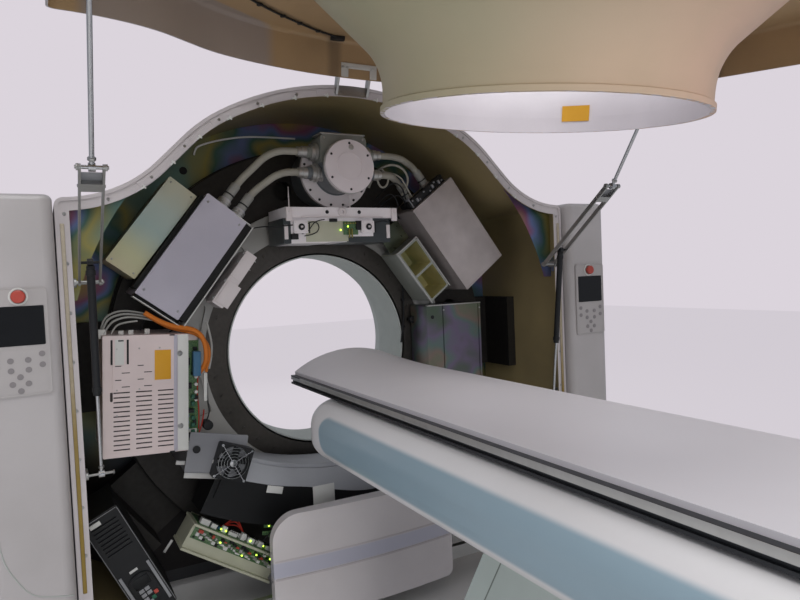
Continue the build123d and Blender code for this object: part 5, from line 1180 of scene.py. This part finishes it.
for x, z in ((386, 300), (386, 176), (382, 60)):
    block(mesh, (16, 12, 12), facing(-2, x, z), 2)
round_bar(mesh, 16, 24, facing(-12, 420, 88), 10, 2)
finish_piece("bore_cable_clamps", mesh, "rotor", black_plastic)
cables("bore_cable", ((4, at_depth(-10, ((360, 330), (380, 300), (388, 240), (387, 176), (386, 110), (382, 60),
                                         (368, -10)))),), "rotor", black_skin)
print("the tanks and boxes are dressed")

# %% [markdown]
# ## Power supply
# Its case has rows of narrow slits. The CAD cuts them, painted shade darkens their depth, and thin dark
# strips paint the shade of the finest ones. An edge of its circuit board shows between the flange and the
# bore, crowded with parts and wires. An orange cable comes down from the tank, and a bundle of grey
# wires arches over the top.

# %% Plates, screws and the edge of the board
SUPPLY_LEAN = -3
supply = facing(-280.2, -711, -64, SUPPLY_LEAN)
mesh = bmesh.new()
block(mesh, (50, 96, 1.2), facing(-280.2, -657, 28, SUPPLY_LEAN), 0.3)
finish_piece("supply_plate", mesh, "rotor", label_yellow)
mesh = bmesh.new()
block(mesh, (26, 80, 0.8), moved(supply, x=-80, y=140), 0.2)
block(mesh, (34, 380, 2.2), moved(supply, x=112), 0.8)
finish_piece("supply_pads", mesh, "rotor", label_white)
mesh = bmesh.new()
block(mesh, (11, 380, 1), moved(supply, x=89), 0.3)
finish_piece("supply_side_band", mesh, "rotor", tank_paint)
# painted shade: thin dark strips stand for the shade inside the finest slits
mesh = bmesh.new()
for x in (-103, -56):
    block(mesh, (6, 78, 1), moved(supply, x=x, y=140), 0.3)
for x, y in ((-76, 176), (78, 190), (78, -190)):
    block(mesh, (16, 4, 2), moved(supply, x=x, y=y), 0.5)
for y, width, shift in ((96, 18, -10), (74, 24, 12), (52, 18, -10), (30, 24, 12)):
    for x in (-74, -8):
        block(mesh, (width, 2.4, 0.8), moved(supply, x=x + shift, y=y), 0.2)
finish_piece("supply_slits", mesh, "rotor", black_plastic)
mesh = bmesh.new()
for x, z in ((-603, 60), (-613, -178)):
    lathe(mesh, ((3, 0), (9, 0), (9, 3), (6, 5), (3, 5)), facing(-280.3, x, z), 24)
    screw(mesh, facing(-285, x, z), 5, 3)
for x, y in ((-88, 150), (-22, 150), (40, 150), (-88, 20), (-22, 20), (-88, -60), (-22, -60), (90, 184),
             (90, -184)):
    screw(mesh, moved(supply, x=x, y=y), 2.6, 1.4)
finish_piece("supply_screws", mesh, "rotor", steel)
board = facing(-193.4, -556, -80, SUPPLY_LEAN)
mesh = bmesh.new()
block(mesh, (46, 344, 3), board, 0.5)
finish_piece("supply_board", mesh, "rotor", circuit)
mesh = bmesh.new()
PARTS = ((-12, 14, 16, 20), (8, 10, 22, 12), (-8, 20, 12, 28), (12, 12, 14, 16), (-10, 16, 20, 14),
         (6, 18, 10, 24), (-14, 10, 26, 18), (10, 14, 12, 10))
for k, (x, width, height, tall) in enumerate(PARTS):
    block(mesh, (width, height, tall), moved(board, x=x, y=-150 + 42 * k, z=3.2), 1)
block(mesh, (18, 30, 40), facing(-160, -509, -206), 3)
round_bar(mesh, 17, 34, facing(-178, -509, -206), 20, 3)
finish_piece("supply_parts", mesh, "rotor", black_plastic)
mesh = bmesh.new()
block(mesh, (26, 84, 30), facing(-206, -540, 14, SUPPLY_LEAN), 3)
for k in range(4):
    block(mesh, (10, 8, 14), moved(board, x=-16, y=-128 + 22 * k, z=3.2), 1)
finish_piece("supply_blue_module", mesh, "rotor", blue_plastic)
mesh = bmesh.new()
for k in range(6):
    block(mesh, (12, 14, 16), moved(board, x=2, y=-140 + 24 * k, z=3.2), 1)
finish_piece("supply_green_blocks", mesh, "rotor", green_plastic)
mesh = bmesh.new()
block(mesh, (12, 96, 14), facing(-208, -514, -70, SUPPLY_LEAN), 2)
for k in range(5):
    round_bar(mesh, 6, 16, moved(board, x=12, y=-30 + 26 * k, z=3.2), 14, 1)
block(mesh, (26, 26, 20), facing(-180, -560, -224, SUPPLY_LEAN), 2)
finish_piece("supply_white_parts", mesh, "rotor", label_white)

# %% Wires and cables round the power supply
cables("supply_red_wires", (
    (2.4, at_depth(-196, ((-532, -30), (-540, -90), (-534, -150), (-540, -215)))),
    (2.4, at_depth(-202, ((-520, -150), (-524, -190), (-540, -226)))),
    (2.0, at_depth(-190, ((-548, -40), (-552, -110), (-548, -180)))),
), "rotor", red_skin)
cables("supply_grey_wires", (
    (4, at_depth(-200, ((-826, 1096), (-815, 1130), (-790, 1150), (-738, 1156), (-677, 1138)), 0)),
    (3.5, at_depth(-215, ((-822, 1094), (-806, 1122), (-780, 1140), (-730, 1146), (-670, 1128)), 0)),
    (3.5, at_depth(-186, ((-830, 1092), (-822, 1136), (-792, 1160), (-744, 1166), (-690, 1150)), 0)),
    (3, at_depth(-228, ((-800, 1094), (-792, 1112), (-770, 1128), (-720, 1130)), 0)),
    (4, at_depth(-225, ((-500, 1110), (-488, 1060), (-486, 1000), (-500, 950)), 0)),
    (3, at_depth(-214, ((-512, 130), (-506, 60), (-514, 0)))),
), "rotor", grey_skin)
cables("supply_black_wires", (
    (2.4, at_depth(-206, ((-505, -60), (-508, -120), (-500, -170), (-520, -196)))),
    (2.4, at_depth(-170, ((-620, 120), (-590, 140), (-560, 120), (-545, 80)))),
    (3, at_depth(-120, ((-700, 134), (-690, 170), (-650, 190), (-600, 176), (-580, 130)))),
), "rotor", black_skin)
cables("orange_cable", (
    (8.5, [(-700, -250, 1156), (-655, -250, 1122), (-600, -250, 1100), (-550, -250, 1092), (-519, -250, 1062),
           (-508, -246, 1010), (-514, -232, 960), (-534, -214, 936)]),
    (6, [(-690, -236, 1146), (-640, -236, 1108), (-590, -236, 1090), (-540, -236, 1076), (-502, -236, 1040),
         (-496, -232, 990), (-508, -214, 940)]),
), "rotor", orange_skin)
mesh = bmesh.new()
block(mesh, (24, 30, 22), facing(-196, -826, 136, SUPPLY_LEAN), 2)
for x in (-770, -740, -690):
    block(mesh, (16, 18, 14), facing(-200, x, 134, SUPPLY_LEAN), 1.5)
finish_piece("supply_top_connectors", mesh, "rotor", label_white)
print("the power supply is dressed")

# %% [markdown]
# ## Fan, detector and boards
# The fan wears a wire guard. The detector carries bare plates and lit indicators. The tray of boards
# beside it is open on its upper side, where its parts show, and a second board stands on its front.
# There the photograph shows a crowd of parts too small to tell apart, so a rule with steps that
# don't divide each other spreads them: uneven, and the same each time.

# %% Fan guard and bracket
fan = facing(-270.3, -445, -335, -20)
mesh = bmesh.new()
WIRE, WIRE_UP = 1.2, 2.6
for radius in (12, 22, 32, 42, 52):
    section = [(radius + WIRE * cos(radians(a)), WIRE_UP + WIRE * sin(radians(a))) for a in range(0, 360, 60)]
    lathe(mesh, section, fan, 48)
for angle in (45, 135, 225, 315):
    spoke = turned(fan, angle)
    round_bar(mesh, 1.3, 64, turned(moved(spoke, x=10, z=2.6), 90, "Y"), 8)
    screw(mesh, moved(spoke, x=74, z=0.5), 5.5, 3)
round_bar(mesh, 13, 1.5, moved(fan, z=1.5), 24, 0.4)
finish_piece("fan_guard", mesh, "rotor", chrome)
mesh = bmesh.new()
plate = facing(-235.8, -490, -303, -12)
nut(mesh, moved(plate, x=-6, y=-26), 9, 5)
block(mesh, (30, 14, 5), moved(plate, x=-118, y=-34, z=-2), 1)
block(mesh, (124, 18, 3), moved(plate, x=-38, y=-76, z=-2), 1)
finish_piece("fan_bracket_fittings", mesh, "rotor", silver)
mesh = bmesh.new()
round_bar(mesh, 13, 1.2, moved(plate, x=-72, y=12, z=0.2), 28)
finish_piece("fan_bracket_hole", mesh, "rotor", black_plastic)

# %% Detector plates and indicators
mesh = bmesh.new()
block(mesh, (86, 70, 1.5), facing(-222.2, -103, -523), 0.5)
block(mesh, (60, 26, 1.5), facing(-222.2, -290, -470, -16), 0.5)
finish_piece("detector_plates", mesh, "rotor", label_white)
mesh = bmesh.new()
for x, z in ((-315, -602), (-300, -640), (-286, -655), (-262, -632), (-322, -628), (30, -585), (56, -580),
             (74, -592)):
    block(mesh, (34, 14, 8), facing(-200, x, z, -10), 1)
finish_piece("detector_boards", mesh, "rotor", circuit)
mesh = bmesh.new()
for x, z in ((-315, -602), (-302, -640), (-281, -652), (56, -580), (-266, -628)):
    block(mesh, (6, 5, 3), facing(-208.4, x, z), 0.8)
finish_piece("detector_lamps", mesh, "rotor", led)
cables("detector_cables", (
    (2.4, at_depth(-216, ((-340, -650), (-310, -618), (-270, -612), (-240, -640)))),
    (2.4, at_depth(-212, ((-326, -664), (-290, -640), (-262, -648), (-244, -672)))),
), "rotor", black_skin)

# %% The parts on the tray of boards
ARC_UP, TRAY_REACH, TRAY_ANGLE, TRAY_TURN = 540, 1297.4, radians(20.15), -33.4
tray_spot = -TRAY_REACH * sin(TRAY_ANGLE), ARC_UP - TRAY_REACH * cos(TRAY_ANGLE), TRAY_TURN
tray = turned(moved(facing(-60, *tray_spot), y=48.4), -90, "X")
mesh = bmesh.new()
block(mesh, (330, 124, 2), moved(tray, y=-68), 0.5)
finish_piece("tray_board", mesh, "rotor", circuit)
BLACK, WHITE, CHIP = 0, 1, 2
parts = bmesh.new(), bmesh.new(), bmesh.new()
for x, y, width, depth, tall, kind in (
        (-140, -110, 34, 20, 20, WHITE), (-140, -80, 30, 24, 14, BLACK), (-104, -112, 22, 16, 16, WHITE),
        (-100, -82, 28, 30, 18, BLACK), (-64, -112, 18, 16, 22, WHITE), (-62, -84, 36, 22, 8, CHIP),
        (-26, -112, 34, 12, 12, WHITE), (-20, -84, 24, 26, 14, BLACK), (14, -110, 16, 20, 24, WHITE),
        (22, -80, 30, 24, 10, CHIP), (48, -112, 26, 14, 18, WHITE), (62, -84, 22, 30, 16, BLACK),
        (88, -110, 20, 18, 20, WHITE), (98, -82, 34, 22, 8, CHIP), (128, -112, 30, 12, 14, WHITE),
        (142, -84, 22, 26, 18, BLACK)):
    block(parts[kind], (width, depth, tall), moved(tray, x=x, y=y, z=2), 1)
for k in range(14):
    round_bar(parts[WHITE], 3.5, 14, moved(tray, x=-30 + 9 * k, y=-96, z=2), 10, 0.6)
finish_piece("tray_black_parts", parts[BLACK], "rotor", black_plastic)
finish_piece("tray_white_parts", parts[WHITE], "rotor", label_white)
finish_piece("tray_chips", parts[CHIP], "rotor", blue_plastic)
mesh = bmesh.new()
for x, y in ((-78, -122), (-58, -122), (44, -122), (100, -118)):
    block(mesh, (5, 4, 6), moved(tray, x=x, y=y, z=8), 0.8)
finish_piece("tray_lamps", mesh, "rotor", led)
red_routes = []
for k in (0, 8, 16):
    route = ((-60, -60 - k, 10), (-34, -84 + k, 34 + 2 * k), (0, -92, 36), (30, -70 - k, 12))
    red_routes.append((2.6, [tray @ Vector(spot) for spot in route]))
cables("tray_red_wires", red_routes, "rotor", red_skin)

# %% The board on the tray's front
mesh = bmesh.new()
face = facing(-180.2, *tray_spot)
for x in (-150, 0, 150):
    screw(mesh, moved(face, x=x, y=30), 3.5, 2)
block(mesh, (46, 9, 3), facing(-200.3, -662, -596, 52), 1)
finish_piece("tray_fittings", mesh, "rotor", silver)
mesh = bmesh.new()
block(mesh, (332, 42, 1.5), moved(face, y=17), 0.4)
finish_piece("tray_front_board", mesh, "rotor", circuit)
parts = bmesh.new(), bmesh.new(), bmesh.new(), bmesh.new()
for k in range(44):
    size = (7 + 5 * k % 11, 5 + 7 * k % 8, 6 + 3 * k % 11)
    block(parts[k * 5 % 7 % 4], size, moved(face, x=-156 + 7.2 * k, y=3 + 13 * k % 31, z=1.5), 0.6, 1)
finish_piece("tray_front_black_parts", parts[0], "rotor", black_plastic)
finish_piece("tray_front_white_parts", parts[1], "rotor", label_white)
finish_piece("tray_front_cans", parts[2], "rotor", silver)
finish_piece("tray_front_red_parts", parts[3], "rotor", red_plastic)
mesh = bmesh.new()
for x, y in ((-62, 20), (34, 6), (84, 26), (140, 30)):
    block(mesh, (6, 5, 4), moved(face, x=x, y=y, z=14), 0.8)
finish_piece("tray_front_lamps", mesh, "rotor", led)
print("the fan, the detector and the tray are dressed")

# %% [markdown]
# ## Drive inverter and lower cover
# The inverter's keypad has grey keys, a red and a green one, a dark window above them, and a frame
# line on each side. The lower cover has a ridge along the lower edge of its stripe and a flatter one
# along the upper edge.

# %% Keypad, window and frame lines
INVERTER = (-791.5, -588.7, 25.4)
drive, pad = facing(-300.2, *INVERTER), facing(-306.2, *INVERTER)
mesh = bmesh.new()
for x, y in ((-14, -96), (4, -96), (-14, -112), (4, -112), (-14, -128), (-5, -142)):
    block(mesh, (15, 12, 3), moved(pad, x=x, y=y), 1)
for side in (-1, 1):
    block(mesh, (9, 150, 4), moved(drive, x=side * 46, y=-95), 1)
    block(mesh, (1.6, 372, 3), moved(drive, x=side * 55), 0.4)
block(mesh, (106, 1.6, 3), moved(drive, y=186), 0.4)
finish_piece("keypad_frame", mesh, "tilt_frame", keypad_grey)
mesh = bmesh.new()
block(mesh, (13, 13, 3.4), moved(pad, x=21, y=-122), 1.5)
finish_piece("keypad_red_key", mesh, "tilt_frame", red_plastic)
mesh = bmesh.new()
block(mesh, (13, 13, 3.4), moved(pad, x=8, y=-134), 1.5)
finish_piece("keypad_green_key", mesh, "tilt_frame", green_plastic)
mesh = bmesh.new()
block(mesh, (52, 34, 1.2), moved(pad, y=-68), 1)
finish_piece("keypad_window", mesh, "tilt_frame", glass_dark)
mesh = bmesh.new()
block(mesh, (26, 8, 1.2), moved(drive, x=-2, y=-24), 0.3)
block(mesh, (34, 14, 1.2), moved(drive, x=-22, y=170), 0.3)
finish_piece("inverter_plates", mesh, "tilt_frame", label_white)

# %% Ridges and screws of the lower cover
COVER_RADIUS, COVER_CENTRE = 2875, 2473     # the lower cover's gentle curve, in plan
mesh = bmesh.new()
for height, thickness in ((231, 3.5), (293, 1.2)):
    rows = []
    for z, out in ((height - 3, 0), (height - 3, thickness), (height + 3, thickness), (height + 3, 0)):
        radius = COVER_RADIUS + out
        rows.append([mesh.verts.new((radius * sin(radians(a)), COVER_CENTRE - radius * cos(radians(a)), z))
                     for a in [-7.0 + 0.5 * k for k in range(29)]])
    edges = [[mesh.edges.new(pair) for pair in zip(row, row[1:])] for row in rows]
    for low_row, high_row in zip(edges, edges[1:] + edges[:1]):
        bmesh.ops.bridge_loops(mesh, edges=low_row + high_row)
    bmesh.ops.holes_fill(mesh, edges=mesh.edges)
finish_piece("lower_cover_ridges", mesh, "tilt_frame", flange_white)
mesh = bmesh.new()
for z in (150, 220, 320):
    for side in (-1, 1):
        screw(mesh, looking((side * 355.3, -362, z), (side, 0, 0)), 4, 2)
finish_piece("lower_cover_screws", mesh, "tilt_frame", steel)
print("the lower parts are dressed")

# %% [markdown]
# ## Table
# A bright strip runs along each side rail. The dark edges above and below it are in the rail's
# finish, so they need no piece.

# %% Rail strips
mesh = bmesh.new()
for side in (-1, 1):
    block(mesh, (2.4, 2330, 14), Matrix.Translation((side * 236.5, -1560, 893)), 0.8)
finish_piece("rail_strips", mesh, "table_cradle", silver)
print("the table is dressed")

# %% [markdown]
# ## The back of the gantry
# A bright edging runs along the top left of the plated back plate. A row of dark screws follows its
# upper rim, and a dark hole is left for a cable.

# %% Edging, hole and screws of the back plate
EDGING = ((-433, 1747), (-428, 1771), (-411, 1785), (-348, 1807), (-246, 1829), (-142, 1835), (-12, 1835))
cables("back_plate_edging", ((4, at_depth(155, EDGING, 0)),), "tilt_frame", bright_white)
mesh = bmesh.new()
round_bar(mesh, 15, 1.5, facing(162.8, -476, 727), 24)
for a in range(20, 170, 15):
    screw(mesh, facing(162.8, 700 * cos(radians(a)), 700 * sin(radians(a))), 5, 2.5)
finish_piece("back_plate_hole", mesh, "tilt_frame", black_plastic)
print("the back plate is dressed")

# %% [markdown]
# ### The rear wall
# The photograph doesn't show the rear wall. Such a machine has a round trim about its bore, a seam
# round the cover that comes off, screws along its edge and two groups of vents, so these are made
# there, thin and plain.

# %% Trim, seams, vents and screws of the rear wall
REAR_FACE = 360.2


def behind(x=0.0, z=0.0, out=0.0):
    """A frame on the rear wall that looks back, at a height above the bore axis."""
    return looking((x, REAR_FACE + out, FLOOR_TO_AXIS + z), (0, 1, 0))


rear = behind()
mesh = bmesh.new()
lathe(mesh, ((428, 0), (446, 0), (443, 3), (431, 3)), rear, 96)
bead(mesh, rear, 1180, 1420, 90, 1.6)
finish_piece("rear_cover_trim", mesh, "tilt_frame", label_white)
mesh = bmesh.new()
for side in (-1, 1):
    block(mesh, (2, 250, 0.8), behind(side * 577, -60), 0)
for side in (-1, 1):
    for k in range(9):
        block(mesh, (5, 230, 1.6), behind(side * 560, 17 * k - 398), 0.5)
finish_piece("rear_seams_and_vents", mesh, "tilt_frame", black_plastic)
mesh = bmesh.new()
for a in range(0, 360, 30):
    screw(mesh, behind(437 * cos(radians(a)), 437 * sin(radians(a)), 3), 5, 2.4)
for x, z in ((-670, 540), (670, 540), (-670, -540), (670, -540), (0, 560), (0, -560), (-680, 0), (680, 0)):
    screw(mesh, behind(x, z), 6, 2.6)
finish_piece("rear_screws", mesh, "tilt_frame", steel)
print("the rear wall is dressed")

# %% [markdown]
# ## Light and floor
# Soft light comes from a broad ceiling panel and a lamp in front, a weak one on the left fills the
# shadows, and one behind lights the rear wall. The world adds the rest. The camera and clear
# surfaces see a pale room, while the object is lit plainly.

# %% Floor, lamps and world
floor_finish = Finish("pale floor")
floor_finish.colour(floor_finish.mix(floor_finish.noise(0.6, 3.0), "e9e8e6", "e2e1de"))
floor_finish.gloss(0.55, 0.1, 3, 2.0)
tree = floor_finish.tree
ROOM_TONE = tint("dbd4dc")
glow, blend = tree.nodes.new("ShaderNodeEmission"), tree.nodes.new("ShaderNodeMixShader")
glow.inputs[0].default_value, glow.inputs[1].default_value = ROOM_TONE, 1.0
x, y, z = floor_finish.xyz()
far = (x * x + (y + 0.6) * (y + 0.6)).root().step(0.9, 3.6)
tree.links.new((floor_finish.node("ShaderNodeLightPath", {}, {}) * far * 0.85).socket, blend.inputs[0])
tree.links.new(floor_finish.shader.outputs[0], blend.inputs[1])
tree.links.new(glow.outputs[0], blend.inputs[2])
tree.links.new(blend.outputs[0], tree.nodes["Material Output"].inputs["Surface"])
mesh = bmesh.new()
bmesh.ops.create_grid(mesh, x_segments=1, y_segments=1, size=14)
floor_data = bpy.data.meshes.new("floor")
mesh.to_mesh(floor_data)
mesh.free()
floor_data.materials.append(floor_finish.material)
floor = bpy.data.objects.new("floor", floor_data)
bpy.context.scene.collection.objects.link(floor)


def lamp(name, place, target, size, watts):
    light = bpy.data.lights.new(name, "AREA")
    light.shape, light.size, light.size_y, light.energy = "RECTANGLE", size[0], size[1], watts
    holder = bpy.data.objects.new(name, light)
    holder.matrix_world = looking(place, Vector(place) - Vector(target))
    holder.visible_glossy = name == "ceiling panel"
    bpy.context.scene.collection.objects.link(holder)


lamp("ceiling panel", (-0.6, -2.6, 3.6), (0, -0.6, 0.9), (3.2, 2.2), 58)
lamp("left fill", (-4.2, -2.2, 2.0), (0, -0.5, 1.0), (2.4, 2.0), 14)
lamp("front fill", (-0.9, -5.6, 1.7), (0, 0, 1.1), (2.6, 1.6), 62)
lamp("rear fill", (1.5, 4.2, 3.0), (0, 0, 1.0), (3.0, 2.0), 60)

world = bpy.data.worlds.new("room")
bpy.context.scene.world = world
world.use_nodes = True
nodes, links = world.node_tree.nodes, world.node_tree.links
plain, bright = nodes["Background"], nodes.new("ShaderNodeBackground")
plain.inputs[0].default_value, plain.inputs[1].default_value = (0.88, 0.90, 1.0, 1), 0.38
bright.inputs[0].default_value, bright.inputs[1].default_value = ROOM_TONE, 1.0
path, pick = nodes.new("ShaderNodeLightPath"), nodes.new("ShaderNodeMixShader")
seen = nodes.new("ShaderNodeMath")
seen.operation, seen.use_clamp = "ADD", True
links.new(path.outputs["Is Camera Ray"], seen.inputs[0])
links.new(path.outputs["Is Transmission Ray"], seen.inputs[1])
links.new(seen.outputs[0], pick.inputs[0])
links.new(plain.outputs[0], pick.inputs[1])
links.new(bright.outputs[0], pick.inputs[2])
links.new(pick.outputs[0], nodes["World Output"].inputs["Surface"])
